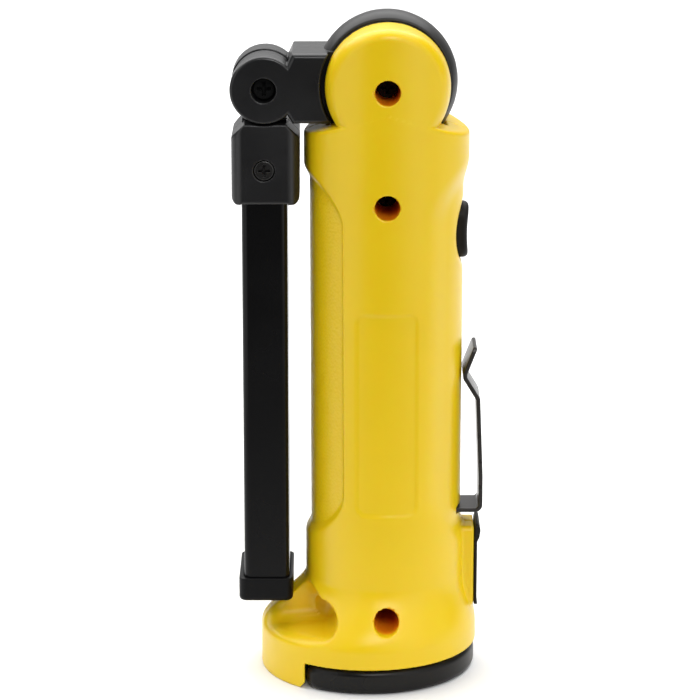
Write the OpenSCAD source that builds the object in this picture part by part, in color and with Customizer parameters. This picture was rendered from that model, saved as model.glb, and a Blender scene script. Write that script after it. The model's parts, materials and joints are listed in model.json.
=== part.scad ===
// Folding-arm work flashlight: a yellow two-shell handle with a drum hinge between two cheeks at its top,
// a two-piece link, a flat lamp panel on a second hinge, a belt clip, a charging port and a magnetic foot.
// Millimetres. +Z is up, the origin is on the handle's axis in the face of the foot, +X is the button side.

/* [Handle] */
// Radius of the handle
body_r = 22.9; // [22.5:0.1:23.5]
// Radius of the handle inside the two side recesses
grip_r = 21.35; // [21:0.05:21.8]
// Height of the sloping shoulder where it meets the cheeks
ledge_z = 158.9; // [158:0.1:159]
// Radius of the round cheeks that hold the drum
cheek_r = 17.25; // [17:0.05:18]
// Wall of the handle
wall = 2.5; // [2:0.1:2.8]

/* [Drum and link] */
// Height of the drum's axis
drum_z = 169.4; // [169:0.1:170]
// Outer radius of the drum's band
band_r = 19.6; // [19:0.1:19.8]
// Half width of the slot between the cheeks
slot_y = 7.2; // [7:0.1:7.6]
// Half width of the link and the lamp arm
arm_y = 12.5; // [12:0.1:12.8]
// Distance of the knuckle's axis from the handle's axis
knuckle_x = -33.8; // [-34.2:0.1:-33.6]
// Height of the knuckle's axis
knuckle_z = 168.4; // [168:0.1:168.8]
// Radius of the knuckle
knuckle_r = 9.35; // [8.6:0.05:9.4]

/* [Lamp panel] */
// Thickness of the lamp panel
panel_t = 12.7; // [12:0.1:13.2]
// Half width of the lamp panel
panel_y = 11.9; // [11.5:0.1:12]
// Lower end of the lamp panel
panel_z0 = 23.6; // [23:0.1:24.5]
// Width of the lens
lens_w = 19.6; // [18:0.1:20]

/* [Base] */
// Radius of the flared base
base_r = 30.74; // [30:0.1:31]
// Distance of the base's centre from the handle's axis
base_x = -4.86; // [-5.2:0.02:-4.6]
// Height of the base's lower rim over the foot
rim_z = 7.4; // [7.3:0.1:8]

/* [Hidden] */

yellow = "gold";
black = [0.07, 0.07, 0.075];
$fn = 96;
far = 60;              // reaches past the part on any side
gap = 0.2;             // running gap between faces that slide past each other

// The shoulder falls from here outwards
ledge_x = 14;
ledge_slope = 0.36;
// Recess along both sides of the handle
grip_z = [42, 144.5];
grip_y = 19.4;
grip_corner = 15;
cavity_r = grip_r - wall;
// Label recess
label = [16.5, 57.5];
label_z = 78.9;
label_depth = 0.45;
// Screws of the handle: heights, bore for the head, bottom of that bore
case_screw_z = [137.8, 20.1];
head_bore_r = 3.45;
case_seat_y = -4.5;
drum_seat_y = -10.4;
shank_r = 1.5;
pilot_r = 1.5;
boss_r = 5.2;
// Flare from the handle to the base
flare_z = [27.5, 24.6, 22, 19.5, 17, 14.4, 11.5];
// Finger scoops on both sides of the web that carries the heel
scoop_x = -18.2;
scoop_z = 19.5;
scoop_r = 4.4;
web_y = 5.3;
// Heel and foot
heel_x = -22.9;
heel_cut = 1.9;
foot_x = -19;
foot_z = 3.55;
foot_barrel = 3.5;
foot_r = 30.3;
lug_y = 8.8;
pin_r = 1.2;
magnet_r = 13;
// Link
link_z = [159.35, 177.45];
link_gap_r = 18.4;
part_y = 2.7;          // parting plane of the link
tongue_y = [-5.4, 2.45];
knuckle_seat_y = -7.3;
link_screw_x = -22.6;
link_screw_z = [162.6, 174.2];
link_screw_seat = 10.6;
link_thread_r = 1;
drum_core_r = 17.2;
drum_y = 6.8;          // half width of the drum
shoulder_r = 2.5;
// Block at the head of the lamp arm
block = [19, 22.6];    // thickness and height
block_x = knuckle_x + 0.3;
block_z = 136.4;
block_part_y = -1.5;
block_screw_z = 146.2;
saddle_r = knuckle_r + 0.4;
socket_z = 141.6;
tab = [5, 12, 9];
// Lamp panel
panel_x0 = knuckle_x - panel_t / 2;
panel_x1 = knuckle_x + panel_t / 2;
panel_top = socket_z - 0.1;
lens_z = [33, 133];
cap = [15.3, 26];      // thickness and width of the end cap
cap_z = [21.9, 28.7];
// Inside the handle
cell_x = -7;
cell_r = 9.2;
cell_z = [56, 121];
board_x = 12.8;
board_t = 1.6;
board_z = [25, 134];
button_z = 127.2;
button = [9.6, 16.4];  // width and height
button_x = 17.8;       // outer face of the flange that keeps the button in
switch_t = 1.1;
port_z = 31;
port = [9.6, 4.2];     // width and height of the port's hole
boss_x = 25.1;
boss_y = 6.8;
boss_z = [17, 42];
cover_pivot = [25.75, 19.1];
clip_w = 13.4;
clip_t = 1.2;
clip_z = 46.4;

// Cylinder along Y through (x, z)
module ycyl(x, z, r, y0, y1) {
  translate([x, y0, z]) rotate([-90, 0, 0]) cylinder(r = r, h = y1 - y0);
}

// Cylinder along X through (y, z)
module xcyl(y, z, r, x0, x1) {
  translate([x0, y, z]) rotate([0, 90, 0]) cylinder(r = r, h = x1 - x0);
}

// Outline in the XZ plane, pushed along Y
module yplate(y0, y1) {
  translate([0, y1, 0]) rotate([90, 0, 0]) linear_extrude(y1 - y0) children();
}

// Outline in the YZ plane, pushed along X
module xplate(x0, x1) {
  translate([x0, 0, 0]) rotate([90, 0, 90]) linear_extrude(x1 - x0) children();
}

// Rectangle with round corners, made without offset so that its arcs stay true
module rounded(w, h, r) {
  square([w - 2 * r, h], center = true);
  square([w, h - 2 * r], center = true);
  for (x = [-1, 1], y = [-1, 1]) translate([x * (w / 2 - r), y * (h / 2 - r)]) circle(r);
}

// Box from its two corners
module box(a, b) {
  translate(a) cube(b - a);
}

// Half of the space on one side of the handle's parting plane
module half_space(side, y = 0) {
  if (side < 0) box([-far, -far, -far], [far, y, 4 * far]);
  else box([-far, y, -far], [far, far, 4 * far]);
}

// How far the flare has gone at height z: 0 at the handle, 1 at the base
function flare_share(z) =
  let (t = (flare_z[0] - z) / (flare_z[0] - flare_z[6]))
  t * t * (3 - 2 * t);

module flare_disc(z) {
  s = flare_share(z);
  translate([base_x * s, 0, z]) cylinder(r = body_r + (base_r - body_r) * s, h = 0.01, $fn = 48);
}

module flare() {
  for (i = [0:5]) hull() {
    flare_disc(flare_z[i]);
    flare_disc(flare_z[i + 1]);
  }
}

// Long recess with round ends along one side of the handle
module side_recess(side) {
  difference() {
    xplate(side < 0 ? -far : 4, side < 0 ? -4 : far)
      translate([0, (grip_z[0] + grip_z[1]) / 2])
        rounded(2 * grip_y, grip_z[1] - grip_z[0], grip_corner);
    translate([0, 0, grip_z[0] - 5]) cylinder(r = grip_r, h = grip_z[1] - grip_z[0] + 10);
  }
}

// Shallow panel for a label on the front or the rear
module label_recess(side) {
  difference() {
    yplate(side < 0 ? -far : 4, side < 0 ? -4 : far)
      translate([0, label_z]) rounded(label[0], label[1], 2.5);
    translate([0, 0, label_z - 40]) cylinder(r = body_r - label_depth, h = 80);
  }
}

module scoop_outline() {
  translate([scoop_x, scoop_z]) circle(scoop_r);
  polygon([[scoop_x, scoop_z - scoop_r], [-33, 13.7], [-42, 13.4], [-42, 29.1], [-24.5, 29.1],
    [-17.4, 23.2], [scoop_x + scoop_r * 0.62, scoop_z + scoop_r * 0.784], [scoop_x, scoop_z]]);
}

// Heel beside the foot, with the lug that carries the foot's pin
module heel() {
  difference() {
    translate([base_x, 0, 0]) cylinder(r = base_r, h = rim_z + 0.1);
    box([heel_x, -far, -1], [far, far, rim_z + 1]);
    yplate(-far, far)
      polygon([[heel_x - heel_cut, -0.01], [heel_x + 1, -0.01], [heel_x + 1, heel_cut + 1],
        [heel_x, heel_cut]]);
  }
  ycyl(foot_x, foot_z, foot_barrel - 0.1, -lug_y, lug_y);
  box([foot_x - foot_barrel + 0.1, -lug_y, foot_z], [foot_x, lug_y, rim_z + 0.1]);
}

// The handle's outside, before it is split and hollowed
module handle_form() {
  difference() {
    translate([0, 0, 11.5]) cylinder(r = body_r, h = ledge_z - 11.5);
    for (side = [-1, 1]) yplate(-far, far)
      polygon([[side * ledge_x, ledge_z], [side * far, ledge_z - (far - ledge_x) * ledge_slope],
        [side * far, ledge_z + 1], [side * ledge_x, ledge_z + 1]]);
  }
  intersection() {
    translate([0, 0, 150]) cylinder(r = body_r, h = 45);
    ycyl(0, drum_z, cheek_r, -far, far);
  }
  flare();
  translate([base_x, 0, rim_z]) cylinder(r = base_r, h = flare_z[6] - rim_z);
  heel();
  xplate(10, boss_x) translate([0, (boss_z[0] + boss_z[1]) / 2])
    rounded(2 * boss_y, boss_z[1] - boss_z[0], 1.5);
}

// Seat around one screw: a post inside the hollow handle
module screw_post(z) {
  ycyl(0, z, boss_r, -body_r + 1, body_r - 1);
}

module cavity() {
  difference() {
    union() {
      translate([0, 0, 31]) cylinder(r = cavity_r, h = 115);
      intersection() {
        translate([0, 0, 22]) cylinder(r = cavity_r, h = 12);
        box([9, -12.5, 22], [far, 12.5, 34]);
      }
      // hollow of the base
      translate([2.5, 0, 10.5]) cylinder(r = 13.5, h = 21);
    }
    for (z = case_screw_z) screw_post(z);
  }
}

module shell_cuts() {
  side_recess(-1);
  side_recess(1);
  label_recess(-1);
  label_recess(1);
  for (side = [-1, 1]) yplate(side < 0 ? -far : web_y, side < 0 ? -web_y : far) scoop_outline();
  // room for the drum
  ycyl(0, drum_z, band_r + 0.6, -slot_y, slot_y);
  box([-far, -slot_y, ledge_z - 2], [far, slot_y, 200]);
  cavity();
  // lead from the board up to the drum
  translate([-8, 0, 140]) cylinder(r = 2, h = 16);
  // charging port, taller than the plug of the cover so that it can swing out
  xplate(17.5, far) translate([0, port_z + 0.2]) rounded(port[0], port[1] + 0.4, 1.6);
  // button: hole and the shallow dish around it
  xplate(17, far) translate([0, button_z]) rounded(button[0] + 0.6, button[1] + 0.6, 4.5);
  ycyl(61.2, button_z, 41.2, -5.6, 5.6);
  // slot for the foot of the belt clip, with room for it to flex
  box([15.7, -clip_w / 2 - 0.1, clip_z - 0.3], [far, clip_w / 2 + 0.1, clip_z + clip_t + 0.5]);
  // pin of the foot
  ycyl(foot_x, foot_z, pin_r, -far, far);
}

module shell_front() {
  color(yellow) difference() {
    intersection() {
      handle_form();
      half_space(-1);
    }
    shell_cuts();
    for (z = case_screw_z) {
      ycyl(0, z, head_bore_r, -far, case_seat_y);
      ycyl(0, z, shank_r + 0.15, -far, 1);
    }
    ycyl(0, drum_z, head_bore_r, -far, drum_seat_y);
    ycyl(0, drum_z, shank_r + 0.15, -far, 1);
  }
}

module shell_rear() {
  color(yellow) difference() {
    intersection() {
      handle_form();
      half_space(1);
    }
    shell_cuts();
    for (z = case_screw_z) ycyl(0, z, pilot_r, -1, 10);
    ycyl(0, drum_z, pilot_r, 0, 15);
  }
}

// Cross-head screw along Y, its head towards -Y
module screw(x, z, seat, head_r, head_h, thread_r, end) {
  difference() {
    union() {
      ycyl(x, z, head_r, seat - head_h, seat);
      ycyl(x, z, thread_r, seat - 0.1, end);
    }
    for (a = [0, 90]) translate([x, seat - head_h, z]) rotate([0, a, 0])
      cube([head_r * 1.25, 1.4, head_r * 0.3], center = true);
  }
}

module case_screws() {
  color("dimgray") for (z = case_screw_z) screw(0, z, case_seat_y, 2.8, 2, shank_r, 9);
}

module drum_screw() {
  color("dimgray") screw(0, drum_z, drum_seat_y, 2.9, 2.2, shank_r, 14);
}

// Sleeve that the drum turns on
module drum_axle() {
  color("silver") difference() {
    ycyl(0, drum_z, 3.4, -slot_y, slot_y);
    ycyl(0, drum_z, shank_r + 0.05, -far, far);
  }
}

module friction_washers() {
  color("silver") for (side = [-1, 1]) difference() {
    ycyl(0, drum_z, 9, side < 0 ? -slot_y + 0.02 : slot_y - 0.32, side < 0 ? -slot_y + 0.32 : slot_y - 0.02);
    ycyl(0, drum_z, 3.5, -far, far);
  }
}

// Outline of the link between its two round ends
module link_outline() {
  translate([knuckle_x, knuckle_z]) circle(knuckle_r);
  polygon([[knuckle_x, knuckle_z - 6.4], [knuckle_x + 6.2, knuckle_z - 6.4],
    [knuckle_x + 7.9, link_z[0]], [-8, link_z[0]], [-8, link_z[1]], [knuckle_x + 7.9, link_z[1]],
    [knuckle_x + 6.2, knuckle_z + 6.4], [knuckle_x, knuckle_z + 6.4]]);
}

module link_form() {
  // wide block, hollowed round at the cheeks
  difference() {
    yplate(-arm_y, arm_y) link_outline();
    ycyl(0, drum_z, link_gap_r, -far, far);
  }
  // neck and core of the drum
  intersection() {
    yplate(-drum_y, drum_y) link_outline();
    ycyl(0, drum_z, link_gap_r + 1, -far, far);
  }
  ycyl(0, drum_z, drum_core_r, -drum_y, drum_y);
}

module link_cuts() {
  ycyl(0, drum_z, 3.45, -far, far);
  // room for the tongue of the lamp arm, swept over its travel
  ycyl(knuckle_x, knuckle_z, knuckle_r + 0.5, tongue_y[0] - 0.5, part_y);
  box([-60, tongue_y[0] - 0.5, 150], [knuckle_x, part_y, 190]);
  // way for the lead
  box([-26, -2, 167], [-6, 1.8, 170]);
}

module link_front() {
  color(black) difference() {
    intersection() {
      link_form();
      half_space(-1, part_y);
    }
    link_cuts();
    ycyl(knuckle_x, knuckle_z, 3.4, -far, knuckle_seat_y);
    ycyl(knuckle_x, knuckle_z, shoulder_r + 0.05, -far, part_y);
    for (z = link_screw_z) ycyl(link_screw_x, z, link_thread_r, -3, far);
  }
}

module link_rear() {
  color(black) difference() {
    intersection() {
      link_form();
      half_space(1, part_y);
    }
    ycyl(0, drum_z, 3.45, -far, far);
    ycyl(knuckle_x, knuckle_z, 1.6, part_y - 1, 9.5);
    for (z = link_screw_z) {
      ycyl(link_screw_x, z, link_thread_r + 0.15, part_y - 1, far);
      ycyl(link_screw_x, z, 2.1, link_screw_seat, far);
    }
  }
}

module link_screws() {
  color("dimgray") for (z = link_screw_z)
    mirror([0, 1, 0]) screw(link_screw_x, z, -link_screw_seat, 1.95, 1.3, link_thread_r, 2);
}

// Band round the drum, open where the link leaves it
module drum_band() {
  color([0.2, 0.2, 0.21]) difference() {
    intersection() {
      ycyl(0, drum_z, band_r, -6.6, 6.6);
      translate([0, 0, drum_z]) rotate([-90, 0, 0]) rotate_extrude()
        polygon([[drum_core_r, -6.6], [band_r - 1.6, -6.6], [band_r - 0.5, -4.6], [band_r, -1.8],
          [band_r, 1.8], [band_r - 0.5, 4.6], [band_r - 1.6, 6.6], [drum_core_r, 6.6]]);
    }
    yplate(-far, far) polygon([[-8, link_z[0]], [-40, link_z[0]], [-40, link_z[1]], [-8, link_z[1]]]);
  }
}

// Shoulder screw that the lamp arm turns on
module knuckle_pin() {
  color("dimgray") {
    screw(knuckle_x, knuckle_z, knuckle_seat_y, 3.1, 1.7, shoulder_r, part_y);
    ycyl(knuckle_x, knuckle_z, 1.6, part_y, 9);
  }
}

module knuckle_washer() {
  color("silver") difference() {
    ycyl(knuckle_x, knuckle_z, 7, tongue_y[0] - 0.44, tongue_y[0] - 0.06);
    ycyl(knuckle_x, knuckle_z, shoulder_r + 0.1, -far, far);
  }
}

// Outline of the block at the head of the lamp arm, in the XZ plane
module block_outline() {
  w = block[0] / 2;
  top = block_z + block[1];
  cut = 3.7;
  low = 2.4;
  translate([block_x, 0]) {
    polygon([[-w, block_z + low], [-w, top - cut], [-w + cut, top], [w - cut, top], [w, top - cut],
      [w, block_z + low], [w - low, block_z + low], [w - low, block_z], [-w + low, block_z],
      [-w + low, block_z + low]]);
    for (x = [-1, 1]) translate([x * (w - low), block_z + low]) circle(low);
  }
}

module block_form() {
  difference() {
    intersection() {
      yplate(-arm_y, arm_y) block_outline();
      translate([block_x, 0, block_z - 1]) linear_extrude(block[1] + 2)
        rounded(block[0], 2 * arm_y, 3);
    }
    ycyl(knuckle_x, knuckle_z, saddle_r, -far, far);
  }
  // tongue between the cheeks of the link
  ycyl(knuckle_x, knuckle_z, knuckle_r - 0.05, tongue_y[0], tongue_y[1]);
  box([knuckle_x - 6.2, tongue_y[0], block_z + 12], [knuckle_x + 6.2, tongue_y[1], knuckle_z - 5]);
}

module block_cuts() {
  ycyl(knuckle_x, knuckle_z, shoulder_r + 0.05, -far, far);
  // socket for the panel and its tab
  translate([knuckle_x, 0, block_z - 1]) linear_extrude(socket_z - block_z + 1)
    square([panel_t + 0.1, 2 * panel_y + 0.1], center = true);
  box([knuckle_x - tab[0] / 2 - 0.1, -tab[1] / 2 - 0.1, socket_z - 1],
    [knuckle_x + tab[0] / 2 + 0.1, tab[1] / 2 + 0.1, panel_top + tab[2] + 0.2]);
  // way for the lead
  translate([knuckle_x, block_part_y, 145]) cylinder(r = 1.2, h = 14);
}

module block_front() {
  color(black) difference() {
    intersection() {
      block_form();
      half_space(-1, block_part_y);
    }
    block_cuts();
    ycyl(knuckle_x, block_screw_z, 2.95, -far, -10.4);
    ycyl(knuckle_x, block_screw_z, shank_r + 0.1, -far, far);
  }
}

module block_rear() {
  color(black) difference() {
    intersection() {
      block_form();
      half_space(1, block_part_y);
    }
    block_cuts();
    ycyl(knuckle_x, block_screw_z, shank_r, -far, 10);
  }
}

module block_screw() {
  color("dimgray") screw(knuckle_x, block_screw_z, -10.4, 2.8, 1.9, shank_r, 9);
}

module panel_housing() {
  c = 1.3;
  w = panel_t / 2;
  color(black) difference() {
    union() {
      translate([knuckle_x, 0, panel_z0]) linear_extrude(panel_top - panel_z0)
        polygon([[-w + c, -panel_y], [w - c, -panel_y], [w, -panel_y + c], [w, panel_y - c],
          [w - c, panel_y], [-w + c, panel_y], [-w, panel_y - c], [-w, -panel_y + c]]);
      box([knuckle_x - tab[0] / 2, -tab[1] / 2, panel_top - 1],
        [knuckle_x + tab[0] / 2, tab[1] / 2, panel_top + tab[2]]);
    }
    // trough for the lamp, open towards -X
    box([-far, -lens_w / 2 - 0.1, lens_z[0] - 0.1],
      [panel_x0 + 7.6, lens_w / 2 + 0.1, lens_z[1] + 0.1]);
    ycyl(knuckle_x, block_screw_z, shank_r + 0.1, -far, far);
    translate([knuckle_x, block_part_y, 131]) cylinder(r = 1.2, h = 22);
  }
}

// One layer of the lamp, at a depth below the panel's open face
module lamp_layer(depth, thick, width, z0, z1) {
  box([panel_x0 + depth, -width / 2, z0], [panel_x0 + depth + thick, width / 2, z1]);
}

module heat_spreader() {
  color("silver") lamp_layer(5.6, 2, lens_w, lens_z[0], lens_z[1]);
}

module led_board() {
  color("white") difference() {
    lamp_layer(4.4, 1.2, lens_w, lens_z[0], lens_z[1]);
    for (z = [36, 130]) xcyl(0, z, 1.2, -far, 0);
  }
}

module cob_strip() {
  color("khaki") lamp_layer(3.7, 0.7, 8, 40, 126);
}

module reflector_frame() {
  color("white") difference() {
    lamp_layer(2.2, 2.2, lens_w, lens_z[0], lens_z[1]);
    lamp_layer(-1, 6, 14, 36.5, 129.5);
  }
}

module lens() {
  color([0.9, 0.95, 1, 0.5]) lamp_layer(0.3, 1.9, lens_w, lens_z[0], lens_z[1]);
}

module end_cap() {
  color([0.12, 0.12, 0.12]) difference() {
    translate([knuckle_x - 0.25, 0, cap_z[0]]) linear_extrude(cap_z[1] - cap_z[0])
      rounded(cap[0], cap[1], 2);
    translate([knuckle_x, 0, panel_z0 - 0.05]) linear_extrude(20)
      square([panel_t + 0.1, 2 * panel_y + 0.1], center = true);
  }
}

// Straight round wire from one point to another
module wire(a, b, r) {
  d = b - a;
  translate(a) rotate([0, acos(d[2] / norm(d)), atan2(d[1], d[0])]) cylinder(r = r, h = norm(d));
}

module lamp_lead() {
  color("firebrick") wire([knuckle_x, block_part_y, 133.4], [knuckle_x, block_part_y, 144.3], 0.9);
}

module battery_cell() {
  color("royalblue") {
    translate([cell_x, 0, cell_z[0]]) cylinder(r = cell_r, h = cell_z[1] - cell_z[0] - 1);
    translate([cell_x, 0, cell_z[1] - 1]) cylinder(r = 3, h = 1);
  }
}

module battery_cradle() {
  color([0.15, 0.15, 0.15]) difference() {
    intersection() {
      translate([cell_x, 0, cell_z[0] - 4]) cylinder(r = cell_r + 2, h = cell_z[1] - cell_z[0] + 8);
      box([-far, -far, 40], [cell_x + 4, far, 140]);
    }
    translate([cell_x, 0, cell_z[0] - 1.6]) cylinder(r = cell_r + 0.15, h = cell_z[1] - cell_z[0] + 3.2);
  }
}

// Spring at the negative end and plate at the positive end
module battery_contacts() {
  color("silver") {
    translate([cell_x, 0, cell_z[0] - 1.5]) cylinder(r = 5, h = 0.6);
    translate([cell_x, 0, cell_z[0] - 0.9]) difference() {
      cylinder(r = 3.5, h = 0.85);
      translate([0, 0, -1]) cylinder(r = 2.7, h = 3);
    }
    translate([cell_x, 0, cell_z[1] + 0.05]) cylinder(r = 5, h = 1.4);
  }
}

module battery_leads() {
  color("firebrick") wire([cell_x + 6.2, 6, cell_z[1] + 3], [board_x - 0.6, 9, 122], 0.7);
  color("black") wire([cell_x + 6.2, 6, cell_z[0] - 3], [board_x - 0.6, 9, 52], 0.7);
}

module main_board() {
  color("darkgreen") difference() {
    box([board_x, -10.5, board_z[0]], [board_x + board_t, 10.5, board_z[1]]);
    for (z = [60, 110]) xcyl(-7, z, 1.1, 0, far);
  }
}

// Driver chip, charging chip, coil and two status lights
module board_parts() {
  x = board_x + board_t;
  color([0.1, 0.1, 0.1]) {
    box([x, -3, 88], [x + 1.6, 2, 94]);
    box([x, -5, 66], [x + 1.4, -1, 71]);
  }
  color("gray") translate([x, 3, 78]) rotate([0, 90, 0]) cylinder(r = 3, h = 2.6);
  color("tan") for (z = [56, 60, 100, 104]) box([x, 4, z], [x + 0.9, 5.6, z + 0.9]);
}

module tact_switch() {
  x = board_x + board_t;
  color("silver") {
    box([x, -3, button_z - 3], [x + switch_t, 3, button_z + 3]);
    xcyl(0, button_z, 1.5, x + switch_t, x + switch_t + 0.6);
  }
}

module charge_socket() {
  color("silver") difference() {
    xplate(board_x + board_t, 21.8) translate([0, port_z]) rounded(8.9, 3.2, 1.5);
    xplate(board_x + board_t + 1.5, far) translate([0, port_z]) rounded(8.3, 2.6, 1.2);
  }
  color([0.1, 0.1, 0.1]) xplate(board_x + board_t + 1.5, 21.2)
    translate([0, port_z]) square([6.4, 0.7], center = true);
}

// Rubber button with a flange inside the handle and a stem towards the switch
module button() {
  color([0.13, 0.13, 0.13]) difference() {
    union() {
      hull() {
        xplate(button_x - 0.1, 21.6) translate([0, button_z])
          rounded(button[0], button[1], 4.4, $fn = 32);
        xplate(22.4, 22.9) translate([0, button_z])
          rounded(button[0] - 3, button[1] - 4, 3.2, $fn = 32);
      }
      xplate(button_x - 0.8, button_x) translate([0, button_z])
        rounded(button[0] + 2, button[1] + 2, 5);
      xcyl(0, button_z, 2, board_x + board_t + switch_t + 1.4, button_x);
    }
    ycyl(52.5, button_z - 1.2, 30, -far, far);
  }
}

// Unit normal of a path's leg, and the vector to a strip's edge at one of its corners
function normal(a, b) = let (d = (b - a) / norm(b - a)) [-d[1], d[0]];
function corner(path, i) =
  let (before = normal(path[max(i - 1, 0)], path[max(i, 1)]),
    after = normal(path[min(i, len(path) - 2)], path[min(i + 1, len(path) - 1)]))
  (before + after) / (1 + before * after);

// Bent spring-steel clip: one strip of constant thickness along its path
module clip_outline() {
  path = [[16.3, clip_z + 4], [16.3, clip_z + 0.6], [25.5, clip_z + 0.6], [26.4, clip_z + 1],
    [26.8, clip_z + 2], [26.8, 57], [26, 79.6], [25.5, 81], [22.2, 86], [22.2, 86.8], [24.9, 94.1]];
  last = len(path) - 1;
  polygon(concat([for (i = [0:last]) path[i] + corner(path, i) * clip_t / 2],
    [for (i = [last:-1:0]) path[i] - corner(path, i) * clip_t / 2]));
}

module belt_clip() {
  color([0.16, 0.15, 0.15]) yplate(-clip_w / 2, clip_w / 2) clip_outline();
}

// Rubber flap over the charging port, hinged along its lower edge
module port_cover() {
  p = cover_pivot;
  color([0.12, 0.12, 0.12]) {
    yplate(-boss_y, boss_y) {
      translate(p) circle(0.5);
      polygon([[25.25, p[1]], [26.25, p[1]], [26.35, 36], [26.9, 38], [27, 41.4], [26.5, 42.9],
        [25.9, 42.9], [25.3, 41.4], [25.25, 39]]);
    }
    xplate(22.6, 25.4) translate([0, port_z]) rounded(port[0] - 0.5, port[1] - 0.9, 1.3);
  }
}

// Foot: plate with a barrel hinge at the heel, holding the magnet
module foot_shell() {
  color([0.13, 0.13, 0.135]) difference() {
    union() {
      intersection() {
        union() {
          translate([base_x, 0, 2]) cylinder(r = foot_r, h = 3.55);
          translate([base_x, 0, 0]) cylinder(r1 = foot_r - 2, r2 = foot_r, h = 2);
          translate([base_x, 0, 5.55]) cylinder(r1 = foot_r, r2 = foot_r - 1.5, h = 1.5);
        }
        box([foot_x, -far, -1], [far, far, 9]);
      }
      ycyl(foot_x, foot_z, foot_barrel, -24, 24);
    }
    // room for the lug of the heel
    ycyl(foot_x, foot_z, foot_barrel + 0.25, -lug_y - gap, lug_y + gap);
    box([-far, -lug_y - gap, -1], [foot_x, lug_y + gap, 9]);
    ycyl(foot_x, foot_z, pin_r + 0.04, -19, 19);
    // magnet from below, lid from above
    translate([0, 0, -1]) cylinder(r = magnet_r + 1, h = 6);
    translate([3, 0, 5]) linear_extrude(3) rounded(36, 36, 10);
  }
}

module foot_lid() {
  color([0.15, 0.15, 0.15]) translate([3, 0, 5]) linear_extrude(1.6) rounded(35.8, 35.8, 9.9);
}

module magnet_cup() {
  color("silver") difference() {
    cylinder(r = magnet_r + 1, h = 5);
    translate([0, 0, -1]) cylinder(r = magnet_r, h = 5);
  }
}

module magnet() {
  color("gray") cylinder(r = magnet_r, h = 4);
}

module foot_pin() {
  color("silver") ycyl(foot_x, foot_z, pin_r, -18.5, 18.5);
}

shell_front();
shell_rear();
case_screws();
drum_screw();
drum_axle();
friction_washers();
drum_band();
link_front();
link_rear();
link_screws();
knuckle_pin();
knuckle_washer();
block_front();
block_rear();
block_screw();
panel_housing();
heat_spreader();
led_board();
cob_strip();
reflector_frame();
lens();
end_cap();
lamp_lead();
battery_cell();
battery_cradle();
battery_contacts();
battery_leads();
main_board();
board_parts();
tact_switch();
charge_socket();
button();
belt_clip();
port_cover();
foot_shell();
foot_lid();
magnet();
magnet_cup();
foot_pin();
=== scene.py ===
"""Looks of the folding-arm work flashlight.

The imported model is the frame: it gives every axis, joint and node box. Each sub-assembly is a class that
builds its pieces as signed-distance forms in millimetres, casts them into meshes with true round edges,
dresses them in a finish and lets them ride on their body. Screws, light chips and lens ribs repeat through
Geometry Nodes.
"""

import json
import logging
import math
from collections.abc import Callable, Sequence
from dataclasses import dataclass
from enum import Enum

import bpy
import numpy as np
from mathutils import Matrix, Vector


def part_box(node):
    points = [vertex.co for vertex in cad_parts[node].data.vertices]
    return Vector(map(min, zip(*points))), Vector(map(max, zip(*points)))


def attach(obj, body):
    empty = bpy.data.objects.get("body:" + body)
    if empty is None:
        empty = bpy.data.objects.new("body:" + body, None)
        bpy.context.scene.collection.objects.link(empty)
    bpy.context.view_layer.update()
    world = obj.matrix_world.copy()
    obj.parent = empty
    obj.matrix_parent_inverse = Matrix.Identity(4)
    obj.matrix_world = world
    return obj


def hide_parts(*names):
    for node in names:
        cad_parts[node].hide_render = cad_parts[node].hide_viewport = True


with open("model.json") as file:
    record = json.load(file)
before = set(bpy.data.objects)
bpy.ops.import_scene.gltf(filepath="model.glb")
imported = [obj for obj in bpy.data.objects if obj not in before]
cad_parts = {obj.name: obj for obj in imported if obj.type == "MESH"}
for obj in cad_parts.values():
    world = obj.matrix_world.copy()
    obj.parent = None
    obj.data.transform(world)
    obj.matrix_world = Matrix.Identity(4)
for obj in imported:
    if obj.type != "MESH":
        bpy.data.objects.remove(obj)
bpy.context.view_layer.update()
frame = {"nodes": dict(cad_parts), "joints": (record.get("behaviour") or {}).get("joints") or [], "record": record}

Array = np.ndarray
Distance = Callable[[Array, Array, Array], Array]
Profile = Callable[[Array, Array], Array]
Point = tuple[float, float]

MM = 0.001
FAR = 300.0
REACH = 60.0  # how far a cut reaches from the middle, past every side of the object
log = logging.getLogger("flashlight")


class Body(Enum):
    """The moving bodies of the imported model."""

    HANDLE = "handle"
    LINK = "link"
    ARM = "lamp_arm"
    BUTTON = "button"
    CLIP = "belt_clip"
    COVER = "port_cover"
    FOOT = "foot"


# ---------------------------------------------------------------- forms


def meet(a: Array, b: Array, edge: float | Array = 0.0) -> Array:
    """What two forms share.

    Args:
        a: Distances to the first form.
        b: Distances to the second form.
        edge: Radius of the round along the edge where they meet, the same everywhere or one for each place.

    Returns:
        Distances to the shared part.
    """
    if np.ndim(edge) == 0 and edge <= 0:
        return np.maximum(a, b)
    corner = np.hypot(np.maximum(a + edge, 0), np.maximum(b + edge, 0))
    return np.minimum(-edge, np.maximum(a, b)) + corner


def join(a: Array, b: Array, fillet: float = 0.0) -> Array:
    """Both forms as one, with a hollow fillet of that radius where they meet."""
    return -meet(-a, -b, fillet)


def carve(a: Array, b: Array, edge: float = 0.0) -> Array:
    """The first form less the second, with a round of that radius along the new edge."""
    return meet(a, -b, edge)


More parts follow.
